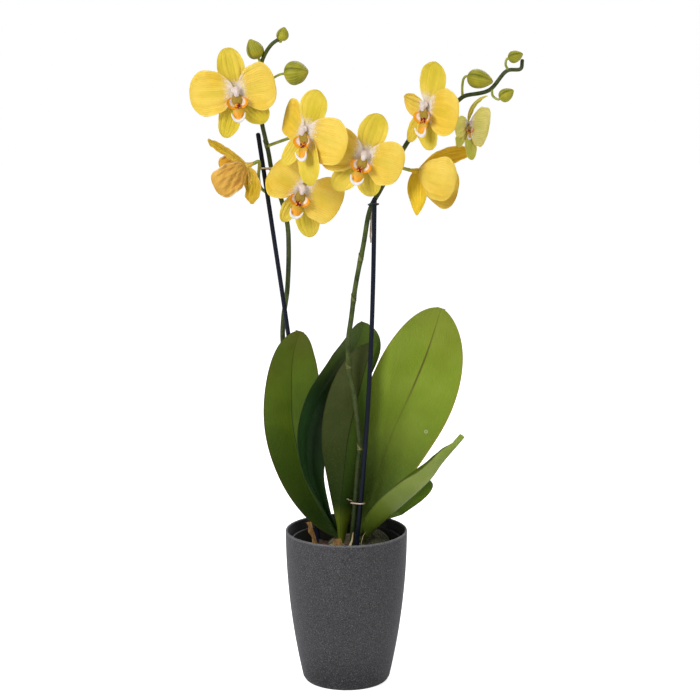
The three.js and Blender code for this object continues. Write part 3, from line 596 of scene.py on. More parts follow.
def rings(grid):
    """A closed skin over a grid of rings, with both ends capped. UV is share along and share round."""
    rows, sides = grid.shape[:2]
    points = np.vstack([grid.reshape(-1, 3), grid[0].mean(0)[None], grid[-1].mean(0)[None]])
    j = np.arange(sides)
    k = (j + 1) % sides
    first, last, end = rows * sides, rows * sides + 1, (rows - 1) * sides
    caps = np.vstack([np.stack([0 * j + first, k, j], 1), np.stack([0 * j + last, end + j, end + k], 1)])
    along = np.repeat(np.linspace(0, 1, rows), sides)
    round_ = np.tile(np.abs(np.linspace(-1, 1, sides, endpoint=False)), rows)
    uv = np.vstack([np.stack([along, round_], 1), [[0, 0.5], [1, 0.5]]])
    return points, grid_quads(rows, sides, closed=True), caps, uv, np.zeros(len(points))


DOME = np.radians([78, 50, 22])  # the rings of a tube's end
DOME_DEPTH = 0.8  # how far an end bulges, as a share of its radius


def tube(centres, radii, sides, flat=1.0):
    """A tube about centres, with domed ends; flat squeezes it across. Its frame is carried without twist."""
    centres = np.asarray(centres, float)
    radii = np.broadcast_to(radii, len(centres)).astype(float)
    tangent = unit(np.gradient(centres, axis=0))
    side = unit(np.cross(tangent[0], [0.31, 0.17, 0.93]) + 1e-9)
    frames = []
    for t in tangent:
        side = unit(side - t * (side @ t))
        frames.append((side, np.cross(t, side)))
    turn = np.linspace(0, 2 * np.pi, sides, endpoint=False)[:, None]

    def ring(centre, radius, pair):
        return centre + radius * (np.cos(turn) * pair[0] + flat * np.sin(turn) * pair[1])

    def end(i, sense, angles):
        ahead = sense * DOME_DEPTH * radii[i] * tangent[i]
        return [ring(centres[i] + ahead * math.sin(a), radii[i] * math.cos(a), frames[i]) for a in angles]

    middle = [ring(*part) for part in zip(centres, radii, frames)]
    return rings(np.array(end(0, -1, DOME) + middle + end(-1, 1, DOME[::-1])))


def shell(surface, thickness, along, across, front=1):
    """A closed blade over surface(u, v), thickness(u, v) thick, u from 0 to 1 and v from -1 to 1.

    Its front, marked by side 1, is where v cross u points, or the other face where front is -1.
    """
    u = 0.5 - 0.5 * np.cos(np.pi * np.linspace(0, 1, along + 1))
    v = np.sin(np.pi / 2 * np.linspace(-1, 1, across + 1))
    u, v = np.meshgrid(u, v, indexing="ij")
    step = 1e-3
    middle = surface(u, v)
    du = surface(np.minimum(u + step, 1), v) - surface(np.maximum(u - step, 0), v)
    dv = surface(u, np.minimum(v + step, 1)) - surface(u, np.maximum(v - step, -1))
    normal = front * unit(np.cross(dv, du) + 1e-12)
    half = thickness(u, v)[..., None] / 2
    count = u.size
    row = across + 1
    points = np.vstack([(middle + normal * half).reshape(-1, 3), (middle - normal * half).reshape(-1, 3)])
    top = grid_quads(along + 1, row)
    rim = np.concatenate(
        [np.arange(row), np.arange(1, along + 1) * row + across, along * row + np.arange(across)[::-1],
         np.arange(1, along)[::-1] * row]
    )
    after = np.roll(rim, -1)
    border = np.stack([after, rim, rim + count, after + count], 1)
    quads = np.vstack([top, top[:, ::-1] + count, border])
    uv = np.tile(np.stack([u.ravel(), (v.ravel() + 1) / 2], 1), (2, 1))
    return points, quads, NO_TRIANGLES, uv, np.repeat([1.0, 0.0], count)


def lathe(profile, sides):
    """A closed solid of revolution about Z through a closed profile of (radius, height) points."""
    profile = np.asarray(profile, float)
    radius, height = profile[:, :1], profile[:, 1:]
    turn = np.linspace(0, 2 * np.pi, sides, endpoint=False)
    return rings(np.stack([radius * np.cos(turn), radius * np.sin(turn), np.repeat(height, sides, 1)], -1))


def round_grid(limit, rows, sides):
    """Latitudes between -limit and limit degrees, and longitudes all round, in radians."""
    turn = np.linspace(0, 2 * np.pi, sides, endpoint=False)
    return np.meshgrid(np.radians(np.linspace(-limit, limit, rows)), turn, indexing="ij")


def on_sphere(a, b):
    """Points of the unit sphere at latitudes a and longitudes b."""
    return np.stack([np.cos(a) * np.cos(b), np.cos(a) * np.sin(b), np.sin(a)], -1)


def outline(u, rise, fall):
    """Half width of a leaf or tepal: (u/b)^rise * ((1-u)/(1-b))^fall, 1 at its broadest place b."""
    b = rise / (rise + fall)
    share = np.clip(u, 0.02, 0.998)
    return (share / b) ** rise * ((1 - share) / (1 - b)) ** fall


def ripple(seed, *values):
    """A smooth wavering between -1 and 1: the mean of three sines of the values with seeded phases."""
    draw = np.random.default_rng(seed)
    total = 0
    for _ in range(3):
        swing = sum(value * draw.uniform(0.6, 1.4) for value in values)
        total = total + np.sin(swing + draw.uniform(0, 6.28))
    return total / 3


# ------------------------------------------------------------------ pots, sticks and bark

COVER_POT = dict(
    height=159, rim_radius=62.5, foot_radius=44.2, foot_edge=3.0, belly_power=2, wall=2.2, floor=3.0,
    stand_radius=22, stand_width=4, stand_top=24,
)
NURSERY_POT = dict(rim_top=149, rim_radius=57.5, rim_depth=5, top_radius=55.5, foot_radius=41, wall=1.2)
NURSERY_FOOT = COVER_POT["stand_top"] + GAP
# Chips: breadth as a share of length, how boxy and how uneven they are, and their greatest slant in radians.
BARK = dict(
    surface=132, clear=0.9, chips=210, length=(9, 24), breadth=(0.45, 0.8), thickness=(3, 7), boxiness=0.45,
    unevenness=0.16, slant=0.6, seed=7,
)
# A heap of growing medium at the right of the crown, and pale dry scraps that stand beside it.
MOUND = {"at": (28, 11, 129), "radii": (20.5, 22.5, 26), "lumps": 0.04, "grain": 0.012, "seed": 31}
SCRAPS = [
    # points from foot to tip and the half width at the foot
    ([(2.5, -19, 138), (3.2, -19, 145), (5.6, -18, 152), (6.8, -17, 160)], 1.9),
    ([(14.5, -22, 137), (15, -20, 147), (17, -18, 156), (20, -17, 161)], 1.3),
    ([(-4, -24, 138), (-1.5, -22, 145), (-3, -21, 149)], 1.2),
]
SCRAP_FLATNESS = 0.3
POT_SIDES = 160
STICK_RADIUS = 2.3
STICKS = dict(
    stick_left=[
        (-20, 28, 42), (-31, 39, 150), (-46, 47, 246), (-60, 41, 356), (-73.5, 29, 456), (-88.5, 16, 565),
    ],
    stick_right=[
        (5, -19, 42), (11, -18, 151), (15, -17, 195), (19, -17, 247), (22, -16, 295), (25, -16, 358),
        (27, -15, 430), (28, -14, 503),
    ],
)


def cover_radius(z):
    """The cover pot's outer radius: rim - (rim - foot) * (1 - z/height)^2."""
    p = COVER_POT
    return p["rim_radius"] - (p["rim_radius"] - p["foot_radius"]) * (1 - z / p["height"]) ** p["belly_power"]


def arc(centre, radius, start, end, count=8):
    """Points of a circle's arc in the (radius, height) plane, angles in degrees from the outward axis."""
    turn = np.radians(np.linspace(start, end, count))
    return [(centre[0] + radius * math.cos(a), centre[1] + radius * math.sin(a)) for a in turn]


def build_cover_pot(material):
    """Flat foot with a rounded edge, bowed wall, rounded rim, and a ring inside for the nursery pot."""
    p = COVER_POT
    edge, wall = p["foot_edge"], p["wall"]
    profile = [(0.5, 0), (20, 0)] + arc((p["foot_radius"] - edge - 0.2, edge), edge, -90, -12)
    profile += [(cover_radius(z), z) for z in np.linspace(edge + 1, p["height"] - wall / 2, 40)]
    profile += arc((p["rim_radius"] - wall / 2, p["height"] - wall / 2), wall / 2, 10, 170)
    profile += [(cover_radius(z) - wall, z) for z in np.linspace(p["height"] - wall, p["floor"] + 4, 30)]
    profile += [(cover_radius(p["floor"]) - wall - 3, p["floor"])]
    half = p["stand_width"] / 2
    for side in (1, -1):
        radius = p["stand_radius"] + side * half
        pair = [(radius, p["floor"]), (radius, p["stand_top"])]
        profile += pair[::side]
    profile += [(0.5, p["floor"])]
    Piece().add(lathe(profile, POT_SIDES)).build([material], "cover_pot", "cover_pot")


def nursery_inside(z):
    """The nursery pot's inner radius at height z: a straight taper."""
    p = NURSERY_POT
    slope = (p["top_radius"] - p["foot_radius"]) / (p["rim_top"] - NURSERY_FOOT)
    return p["foot_radius"] - p["wall"] + slope * (z - NURSERY_FOOT)


def build_nursery_pot(material):
    """Thin tapered pot with a turned-out rim."""
    p = NURSERY_POT
    top, depth, wall = p["rim_top"], p["rim_depth"], p["wall"]
    foot_radius, top_radius, rim_radius = p["foot_radius"], p["top_radius"], p["rim_radius"]
    profile = [(0.5, NURSERY_FOOT), (foot_radius - 1.5, NURSERY_FOOT), (foot_radius, NURSERY_FOOT + 1.5)]
    profile += [(top_radius - 0.5, top - depth), (rim_radius - 0.4, top - depth)]
    profile += [(rim_radius, top - depth + 0.4)] + arc((rim_radius - 0.6, top - 0.6), 0.6, 0, 90, 5)
    profile += [(top_radius - wall + 0.3, top), (top_radius - wall, top - 0.5)]
    profile += [(foot_radius - wall, NURSERY_FOOT + wall), (0.5, NURSERY_FOOT + wall)]
    Piece().add(lathe(profile, POT_SIDES)).build([material], "nursery_pot", "nursery_pot")


def build_stick(name, material):
    """A smooth bent rod with rounded ends."""
    centres = by_length(spline(STICKS[name]))(np.linspace(0.005, 0.995, 120))
    Piece().add(tube(centres, STICK_RADIUS, 20)).build([material], "stick", name)


def chip_shape(draw):
    """A rounded, uneven block: a superellipsoid of random length, width and slant, waved by a few sines."""
    length = draw.uniform(*BARK["length"])
    size = np.array([length, length * draw.uniform(*BARK["breadth"]), draw.uniform(*BARK["thickness"])]) / 2
    grid = on_sphere(*round_grid(82, 9, 14))
    grid = np.sign(grid) * np.abs(grid) ** BARK["boxiness"]
    seed = int(draw.integers(1 << 30))
    waves = ripple(seed, 3 * grid[..., 0], 4 * grid[..., 1], 2 * grid[..., 2])
    grid = grid * size * (1 + BARK["unevenness"] * waves)[..., None]
    slant = BARK["slant"]
    tilt, roll, turn = draw.uniform(-slant, slant), draw.uniform(-slant, slant), draw.uniform(0, math.pi)
    spin = rotation("z", turn) @ rotation("y", roll) @ rotation("x", tilt)
    return grid @ spin.T


def rotation(axis, angle):
    """The 3 by 3 matrix that turns by angle radians about an axis."""
    c, s = math.cos(angle), math.sin(angle)
    rows = {"x": [[1, 0, 0], [0, c, -s], [0, s, c]], "y": [[c, 0, s], [0, 1, 0], [-s, 0, c]],
            "z": [[c, -s, 0], [s, c, 0], [0, 0, 1]]}
    return np.array(rows[axis], float)


def mound_shape():
    """An ellipsoid lifted by broad ripples and, point by point, by a seeded grain."""
    a, b = round_grid(88, 80, 130)
    grid = on_sphere(a, b)
    x, y, z = grid[..., 0], grid[..., 1], grid[..., 2]
    seed = MOUND["seed"]
    lumps = ripple(seed, 7 * x, 8 * y, 6 * z) + 0.5 * ripple(seed + 1, 19 * x, 17 * y, 18 * z)
    grain = MOUND["grain"] * np.random.default_rng(seed).uniform(-1, 1, a.shape) * np.cos(a)
    lifted = grid * (1 + MOUND["lumps"] * lumps + grain)[..., None]
    return rings(lifted * np.array(MOUND["radii"]) + np.array(MOUND["at"]))


def build_bark(materials):
    """A filled core with a lumpy surface, a heap on it, and loose chips strewn over it by a seeded draw."""
    foot, top = NURSERY_FOOT + NURSERY_POT["wall"] + BARK["clear"], BARK["surface"]
    base, edge = (nursery_inside(z) - BARK["clear"] for z in (foot, top - 3))
    profile = [(0.5, foot), (base, foot), (edge, top - 3), (edge - 3, top - 0.5)]
    profile += [(r, top) for r in (40, 30, 20, 10, 0.5)]
    piece = Piece().add(lathe(profile, 96)).add(mound_shape(), len(materials) - 1)
    draw = np.random.default_rng(BARK["seed"])
    for _ in range(BARK["chips"]):
        shape = chip_shape(draw)
        reach = (edge - 11) * math.sqrt(draw.uniform())
        heading = draw.uniform(0, 2 * math.pi)
        lift = top - 1.5 + draw.uniform(0, 5) * (1 - 0.5 * reach / edge)
        centre = np.array([reach * math.cos(heading), reach * math.sin(heading), lift])
        piece.add(rings(shape + centre), int(draw.integers(len(materials) - 1)))
    piece.build(materials, "bark", "bark")


# ------------------------------------------------------------------ leaves, crown and sheaths

LEAF_THICKNESS = 1.9
LEAF_LEAST = 4.5  # a leaf's least half width
LEAF_OPEN = 0.45  # the share of its length at which a leaf is usually open
LEAF_KEEL = 0.2  # how round the keel is, as a share of the half width
LEAF_GROOVE = 0.7  # depth of the groove along the midrib
LEAF_GRID = (96, 32)
TIP_ROLL = (0.78, 0.98)  # the share of its length over which a rolled tip rolls
# Each leaf: midrib from base to tip; across, the way to its right-hand margin seen from its upper face; the
# greatest half width and powers of widening and narrowing of its left and right half; how far its halves
# fold up, at base and tip, and further in a rolled tip, in degrees; the share of its length at which it is
# open; and its seed for the waviness.
LEAVES = dict(
    leaf_left_outer=dict(
        across=(1, 0, 0), fold=(25, 12), half=(30, 30.5), rise=(0.7, 1.1), fall=(0.55, 0.5),
        midrib=[
            (-7, 14, 145), (-20, 22, 161), (-34, 28, 186), (-45, 31, 215), (-55, 33, 257), (-57, 34.5, 298),
            (-55, 36, 334), (-48, 39, 359),
        ],
        seed=1,
    ),
    leaf_left_inner=dict(
        across=(0.85, 0.5, 0), fold=(60, 15), open=1, half=(30, 34), rise=(0.8, 1.3), fall=(0.5, 0.45),
        midrib=[
            (-7, 4, 149), (-23, 8, 178), (-38, 15, 214), (-40, 20, 256), (-27, 26, 294), (-4, 32, 327),
            (11, 37, 348), (18, 41, 368),
        ],
        seed=2,
    ),
    leaf_centre=dict(
        across=(-1, 0.05, 0), fold=(50, 12), half=(18.5, 31), rise=(0.65, 1.32), fall=(1.1, 0.65),
        midrib=[
            (-5, -9, 145), (-6.5, -10, 175), (-1.5, -7, 229), (3, -4, 262), (13, 1, 303), (21, 7, 332),
            (28, 13, 352),
        ],
        seed=3,
    ),
    leaf_right_back=dict(
        across=(0.97, -0.1, 0), fold=(14, 3), half=(43, 46), rise=(1, 0.95), fall=(0.55, 0.62),
        midrib=[
            (12, 6, 155), (22, 9, 184), (35, 13, 222), (49, 15, 261), (67, 18, 301), (83, 21, 341),
            (97, 26, 385),
        ],
        seed=4,
    ),
    leaf_right_front=dict(
        across=(-0.3, -1, 0), fold=(60, 40), half=(28, 28), rise=(1, 1), fall=(1.3, 1.3), rolled_tip=42,
        midrib=[
            (17, -6, 148), (31, -16, 166), (51, -24, 187), (71, -31, 207), (85, -37, 223), (95, -42, 239),
            (117, -52, 268),
        ],
        seed=5,
    ),
    leaf_right_low=dict(
        across=(0.3, -1, -0.3), fold=(45, 5), half=(24, 24), rise=(0.7, 0.7), fall=(0.4, 0.4),
        midrib=[(14, 13, 149), (32, 20, 163), (50, 29, 176), (68, 38, 187), (87, 47, 199)], seed=6,
    ),
)
# A leaf's look: how rough and shiny it is and how strong its waxy coat (gloss, shine, sheen); the colours of
# its upper face, underside, painted shade at its foot, tip, veins, midrib, margin, stalk and of one half that
# differs; how strong each is (warmth for the tip), and to what share of the leaf's length or width it
# reaches.
LEAF_USUAL = dict(
    gloss=0.36, shine=0.16, sheen=0.05, main=(0.056, 0.098, 0.002), pale=(0.088, 0.138, 0.004),
    foot=(0.01, 0.028, 0.003), foot_shade_end=0.66, tip=(0.1, 0.055, 0.012), warmth=0.0, warm_from=1.3,
    vein=(0.03, 0.06, 0.003), rib=(0.02, 0.034, 0.004), margin=(0.075, 0.04, 0.01), margin_share=0.75,
    under=(0.05, 0.092, 0.006), under_pale=(0.08, 0.128, 0.012), rib_width=0.03, half=(0, 0, 0),
    half_share=0.0, half_edge=0.48, half_end=1.5, rib_from=-1.0, petiole=(0.05, 0.08, 0.006),
    petiole_end=-0.1,
)
LEAF_LOOKS = dict(
    leaf_left_outer=dict(warmth=0.85, tip=(0.13, 0.048, 0.012), warm_from=1.32, foot_shade_end=0.71),
    # leaf_left_inner: main and pale are painted shade of its hollow upper face; under_pale is a painted
    # highlight
    leaf_left_inner=dict(
        gloss=0.3, shine=0.12, sheen=0.16, main=(0.003, 0.016, 0.002), pale=(0.008, 0.027, 0.004),
        under=(0.034, 0.088, 0.026), under_pale=(0.072, 0.15, 0.05), foot=(0.009, 0.03, 0.004), foot_shade_end=0.45,
        margin=(0.03, 0.045, 0.006), tip=(0.078, 0.125, 0.014), warmth=0.95, warm_from=1.02,
        half=(0.03, 0.085, 0.022), half_share=0.85, half_edge=0.64, half_end=0.64, rib=(0.016, 0.046, 0.01),
        rib_width=0.02,
    ),
    leaf_centre=dict(
        under=(0.036, 0.046, 0.01), under_pale=(0.06, 0.07, 0.02), main=(0.056, 0.09, 0.008),
        rib=(0.012, 0.02, 0.003), foot=(0.008, 0.022, 0.002), foot_shade_end=0.94, margin=(0.035, 0.03, 0.01),
        gloss=0.5, shine=0.06, sheen=0.0, half=(0.06, 0.115, 0.01), half_share=0.75,
        petiole=(0.1, 0.135, 0.01), petiole_end=0.16,
    ),
    leaf_right_back=dict(
        main=(0.188, 0.27, 0.016), pale=(0.24, 0.325, 0.032), vein=(0.12, 0.175, 0.008),
        rib=(0.085, 0.05, 0.012), margin=(0.26, 0.21, 0.015), foot=(0.03, 0.066, 0.003), foot_shade_end=0.72,
        warmth=0.4, tip=(0.16, 0.12, 0.012), sheen=0.05, spot=(0.0815, 0.0, 0.2595), spot_radius=0.0017,
        rib_width=0.035, rib_from=0.62,
    ),
    leaf_right_front=dict(
        gloss=0.3, under=(0.205, 0.275, 0.03), under_pale=(0.31, 0.39, 0.08), main=(0.055, 0.098, 0.008),
        foot=(0.06, 0.1, 0.006), margin=(0.06, 0.07, 0.01), sheen=0.14,
    ),
    leaf_right_low=dict(
        main=(0.115, 0.215, 0.005), pale=(0.165, 0.285, 0.012), under=(0.115, 0.215, 0.005),
        under_pale=(0.165, 0.285, 0.012), foot=(0.05, 0.1, 0.004), shine=0.05,
    ),
)
CROWN = np.array([4, 2, 0])  # where the short stem stands
CROWN_PROFILE = [(0.5, 96), (5, 96), (8, 122), (12.5, 138), (13, 146), (9, 151), (0.5, 152)]
ROOTS = [(-160, 36), (-128, 40), (-48, 42), (12, 38), (66, 34), (128, 40)]  # heading in degrees, and reach
ROOT_PATH = [(0, 139), (0.35, 144), (0.72, 139), (0.95, 128), (1, 114)]  # share of the reach, and height
ROOT_RADIUS = 2.6
SHEATHS = {
    # across, and the midrib from base to tip
    "dried_sheath_left": ((0.6, -0.8, 0), [(-27, -12, 141), (-33, -11, 153), (-38, -9, 169)]),
    "dried_sheath_front": ((1, 0.2, 0), [(-9, -26, 136), (-8, -25, 145), (-10, -23, 155)]),
}
SHEATH_SHAPE = {"half": (4.5, 4.5), "rise": (0.4, 0.4), "fall": (0.4, 0.4), "fold": (30, 10), "seed": 9}
SHEATH_WAVE = 1.4
SHEATH_GRID = (30, 12)


def leaf_surface(leaf, wave=1.0):
    """A blade along its midrib: each half is half * outline wide and folds up by an angle that opens out.

    The halves meet in a rounded keel, and seeded ripples of up to wave mm run along the margins.
    """
    midrib = by_length(spline(leaf["midrib"]))
    step = 1e-3
    half, rise, fall = (np.array(leaf[key], float) for key in ("half", "rise", "fall"))

    def at(u, v):
        along = unit(midrib(np.minimum(u + step, 1)) - midrib(np.maximum(u - step, 0)))
        across = np.array(leaf["across"], float)
        across = unit(across - along * (along @ across)[..., None])
        upward = np.cross(across, along)
        side = (v >= 0).astype(int)
        wide = np.maximum(half[side] * outline(u, rise[side], fall[side]), LEAF_LEAST)
        opened = np.minimum(u / leaf.get("open", LEAF_OPEN), 1)
        rolled = leaf.get("rolled_tip", 0) * np.interp(u, TIP_ROLL, (0, 1))
        fold = np.radians(leaf["fold"][0] + (leaf["fold"][1] - leaf["fold"][0]) * opened + rolled)
        rounded = (np.hypot(v, LEAF_KEEL) - LEAF_KEEL) / (math.hypot(1, LEAF_KEEL) - LEAF_KEEL)
        groove = -LEAF_GROOVE * np.exp(-((v / 0.05) ** 2)) * np.sin(np.pi * np.clip(u, 0, 1)) ** 0.5
        margin = wave * np.abs(v) ** 3 * ripple(leaf["seed"], 13 * u, 2 * v) * np.minimum(u * 4, 1)
        out = (v * wide * np.cos(fold))[..., None] * across
        up = (wide * rounded * np.sin(fold) + groove + margin)[..., None] * upward
        return midrib(u) + out + up

    return at


def build_leaf(name, leaf):
    """A waxy blade, thickest along its midrib and thin at its margin."""

    def thickness(u, v):
        return LEAF_THICKNESS * (1.05 - 0.75 * v**4) * (1 - 0.45 * u)

    material = leaf_material(name, {**LEAF_USUAL, **LEAF_LOOKS[name]})
    slot = "leaf_back" if name == "leaf_centre" else "leaf"
    Piece().add(shell(leaf_surface(leaf), thickness, *LEAF_GRID)).build([material], slot, name)


def sheath_thickness(u, v):
    """Thin at its margins, in mm."""
    return 0.9 - 0.4 * np.abs(v) + 0 * u


def build_sheath(name, material):
    """A dry, ragged strip left by an old leaf."""
    across, midrib = SHEATHS[name]
    surface = leaf_surface({**SHEATH_SHAPE, "across": across, "midrib": midrib}, SHEATH_WAVE)
    Piece().add(shell(surface, sheath_thickness, *SHEATH_GRID)).build([material], "dried_sheath", name)


def build_crown(materials):
    """The short stem the leaves grow from, and roots that rise from it and dip into the bark."""
    piece = Piece().add(lathe(CROWN_PROFILE, 40), 0, lambda p: p + CROWN)
    for heading, reach in ROOTS:
        out = reach * np.array([math.cos(math.radians(heading)), math.sin(math.radians(heading)), 0])
        points = [out * share + CROWN + np.array([0, 0, z]) for share, z in ROOT_PATH]
        t = np.linspace(0, 1, 44)
        wobble = 1 + 0.10 * ripple(heading + 360, 20 * t)
        piece.add(tube(spline(points)(t), ROOT_RADIUS * wobble, 16), 1)
    for order, (points, half) in enumerate(SCRAPS):
        t = np.linspace(0, 1, 40)
        width = half * (1 - 0.8 * t**2) * (1 + 0.25 * ripple(11 + order, 16 * t))
        piece.add(tube(spline(points)(t), width, 16, SCRAP_FLATNESS), 2)
    piece.build(materials, "root", "crown_and_roots")


# ------------------------------------------------------------------ blooms

NECK = 8  # how far a bloom's hub reaches behind it
HUB = [(0.3, -1.9), (3.2, -1.8), (3.6, 1.2), (2.6, 3.6), (1.9, 6), (1.7, NECK - 0.4), (0.3, NECK)]
TEPAL_THICKNESS = 0.8
TEPAL_START = 1.5  # how far from the bloom's middle a tepal starts
TEPAL_GRID = (60, 44)
# Relief of a tepal in mm, but edge as a share of its half width: ripples along the margin, broad folds,
# wrinkles of a crumpled one, creases that fan out from the foot, the middle groove, the turned margin.
RELIEF = dict(edge=0.05, wave=0.9, fine_wave=0.4, fold=1.1, wrinkle=0.8, crease=0.95, groove=0.7, turned=0.6)
# Each tepal: its angle from the bloom's top, in degrees, to the right above 0; its length and its half width
# above and below the middle line; lift, how steeply it leaves the centre, and curl, how far it bends on the
# way; its cup; the powers of its widening and narrowing; how far it is set back; and its roll and twist
# about its middle line.
SEPAL = dict(length=40, up=12.5, down=12.5, lift=-6, curl=10, cup=0.12, rise=0.62, fall=0.5, set=0.1)
PETAL = dict(length=42, up=23, down=22, lift=8, curl=-14, cup=0.08, rise=0.62, fall=0.42, set=-1.4)
CUPPED = {"cup": 0.2, "rise": 1.1, "set": 0}
TEPALS = dict(
    dorsal=dict(SEPAL, angle=0, length=42, up=13.5, down=13.5, curl=14, cup=0.1, set=0.4),
    left_sepal=dict(SEPAL, angle=-148), right_sepal=dict(SEPAL, angle=148), left_petal=dict(PETAL, angle=-80),
    right_petal=dict(PETAL, angle=80),
)
# Each bloom: its centre; turn about the vertical, nod forward and lean sideways in degrees; its size and
# the size of its lip; its look and how crumpled it is, 1 being usual; the height at which its stalk leaves
# the spike, what the stalk passes through and how far it runs straight into the bloom; and what differs in
# its tepals.
BLOOMS = [
    dict(
        name="bloom_1", at=(-107, -28, 607), turn=4, nod=4, lean=-5, spike="spike_left", foot=600,
        dorsal=dict(angle=-7), left_petal=dict(angle=-88, length=44),
        right_petal=dict(angle=84, length=37.5, up=25),
        left_sepal=dict(angle=-161, length=45, up=11, down=11), right_sepal=dict(angle=140, length=40),
    ),
    dict(
        name="bloom_2", at=(-39, -37, 570), turn=-35, nod=4, lean=-6, spike="spike_left", foot=551,
        dorsal=dict(angle=31, twist=10, length=42, up=15.5, down=14),
        left_petal=dict(angle=-60, lift=-20, curl=-10, length=42, up=20, down=20),
        right_petal=dict(angle=118, lift=-6, curl=-10, length=45, up=25, down=24),
        left_sepal=dict(angle=-138, lift=6, length=41, up=9, down=9),
        right_sepal=dict(angle=180, length=52, up=13, down=13, lift=0),
    ),
    dict(
        name="bloom_3", at=(-44, -8, 510), turn=6, nod=8, lean=18, spike="spike_left", foot=488,
        dorsal=dict(angle=-6, lift=-18, curl=4, length=34), left_petal=dict(angle=-74, length=36),
        right_petal=dict(angle=95, length=41, down=25), left_sepal=dict(angle=-168, length=37, up=9, down=8),
        right_sepal=dict(angle=151, length=49),
    ),
    dict(
        name="bloom_4", at=(-99, 2, 532), turn=-98, nod=22, lean=0, lip=0.34, look="old", crumple=2.4,
        spike="spike_left", foot=498, via=[(-78, 31, 501), (-86, 25, 508), (-88, 16, 519)], reach=4.5,
        dorsal=dict(lift=35, curl=2, length=46, up=6.5, down=6.5, cup=0.3, roll=50),
        left_petal=dict(CUPPED, angle=-75, lift=24, curl=62, length=40, up=14, down=15, cup=0.08),
        right_petal=dict(
            CUPPED, angle=104, lift=24, curl=62, length=43, up=15, down=17, cup=0.12, rise=0.6, fall=0.3,
        ),
        left_sepal=dict(angle=-168, lift=-4, curl=40, length=32, up=8, down=8),
        right_sepal=dict(angle=166, lift=-14, curl=56, length=38, up=9.5, down=9.5, roll=-68),
    ),
    dict(
        name="bloom_5", at=(18, -38, 546), turn=-6, nod=6, lean=18, spike="spike_right", foot=506,
        dorsal=dict(angle=2, up=14.5, down=14), left_petal=dict(angle=-94, length=43),
        right_petal=dict(angle=91, length=38), left_sepal=dict(angle=-156, length=44),
        right_sepal=dict(angle=153),
    ),
    dict(
        name="bloom_6", at=(78, -42, 594), turn=-40, nod=6, lean=-2, spike="spike_right", foot=572,
        dorsal=dict(angle=22, length=44, twist=10, up=15, down=14),
        left_petal=dict(angle=-80, lift=-16, length=42, up=8, down=14, fall=0.8),
        right_petal=dict(angle=107, lift=-2, curl=-8, length=36, up=24, down=23),
        left_sepal=dict(angle=-143, lift=-4, length=42, up=8, down=8),
        right_sepal=dict(angle=-176, length=42, up=13, down=13),
    ),
    dict(
        name="bloom_7", at=(70.5, -14, 528), turn=92, nod=12, lean=0, lip=0.26, look="ripe", crumple=1.4,
        spike="spike_right", foot=528,
        dorsal=dict(lift=40, curl=38, length=57, up=10.5, down=10.5, cup=0.2, roll=-55, rise=0.95),
        left_petal=dict(CUPPED, angle=-94, lift=13, curl=78, length=50, up=23, down=21, rise=0.9),
        right_petal=dict(CUPPED, angle=114, lift=34, curl=62, length=54, up=20, down=27, set=0.9),
        left_sepal=dict(
            angle=-164, lift=12, curl=6, length=43, up=12, down=10, cup=0.3, roll=50, set=3.2, rise=0.5,
            fall=0.8,
        ),
        right_sepal=dict(angle=160, lift=2, curl=10, length=37, up=10, down=10, cup=0.3),
    ),
    dict(
        name="bloom_8", at=(119, -24, 576), turn=42, nod=8, lean=14, size=0.8, lip=0.65, look="young",
        spike="spike_right", foot=585,
        dorsal=dict(angle=2, lift=-26, curl=104, length=47, up=7.5, down=7.5, cup=0.4, roll=30),
        left_petal=dict(angle=-110, lift=10, curl=4, length=28, up=13, down=14),
        right_petal=dict(angle=80, lift=20, curl=-4, length=28, up=23, down=27),
        left_sepal=dict(angle=-150, lift=10, length=34, up=10, down=10),
        right_sepal=dict(angle=156, lift=5, length=44, up=10, down=10),
    ),
]
# A tepal's look: its colours, the number of its veins, how strong veins, margin and green middle are, and
# the share of its length that the powdery heart takes.
PETAL_USUAL = dict(
    main=(0.92, 0.655, 0.105), deep=(0.83, 0.54, 0.038), vein=(0.6, 0.37, 0.012), veins=22, vein_share=0.5,
    fleck=(0.48, 0.14, 0.02), heart=0.12, margin=(0.93, 0.72, 0.17), margin_share=0.4, back=(0.82, 0.6, 0.1),
    green=(0.6, 0.5, 0.025), green_share=0.35,
)
PETAL_LOOKS = dict(
    petal={}, sepal=dict(main=(0.87, 0.66, 0.085), deep=(0.71, 0.56, 0.04), heart=0.13, green_share=0.42),
    petal_ripe=dict(main=(0.9, 0.64, 0.1), deep=(0.82, 0.52, 0.04), vein_share=0.6),
    sepal_ripe=dict(
        main=(0.93, 0.63, 0.035), deep=(0.82, 0.5, 0.014), heart=0.05, green_share=0.25,
        back=(0.95, 0.66, 0.03),
    ),
    petal_old=dict(
        main=(0.8, 0.46, 0.035), deep=(0.66, 0.3, 0.01), vein=(0.44, 0.16, 0.006), heart=-0.3,
        margin=(0.93, 0.7, 0.44), margin_share=0.75, back=(0.88, 0.58, 0.2), green=(0.52, 0.32, 0.01),
        green_share=0.4,
    ),
    sepal_old=dict(
        main=(0.8, 0.54, 0.06), deep=(0.62, 0.4, 0.016), vein=(0.4, 0.22, 0.008), heart=-0.3,
        margin=(0.88, 0.64, 0.3), margin_share=0.6, back=(0.8, 0.56, 0.14), green=(0.48, 0.38, 0.01),
        green_share=0.5,
    ),
    petal_young=dict(
        main=(0.95, 0.81, 0.26), deep=(0.86, 0.75, 0.15), vein=(0.4, 0.44, 0.02), vein_share=0.7, heart=0.1,
        green=(0.54, 0.56, 0.04),
    ),
    sepal_young=dict(
        main=(0.8, 0.72, 0.15), deep=(0.64, 0.62, 0.08), vein=(0.3, 0.36, 0.02), vein_share=0.7, heart=-0.2,
        green=(0.42, 0.46, 0.03), green_share=0.6,
    ),
)
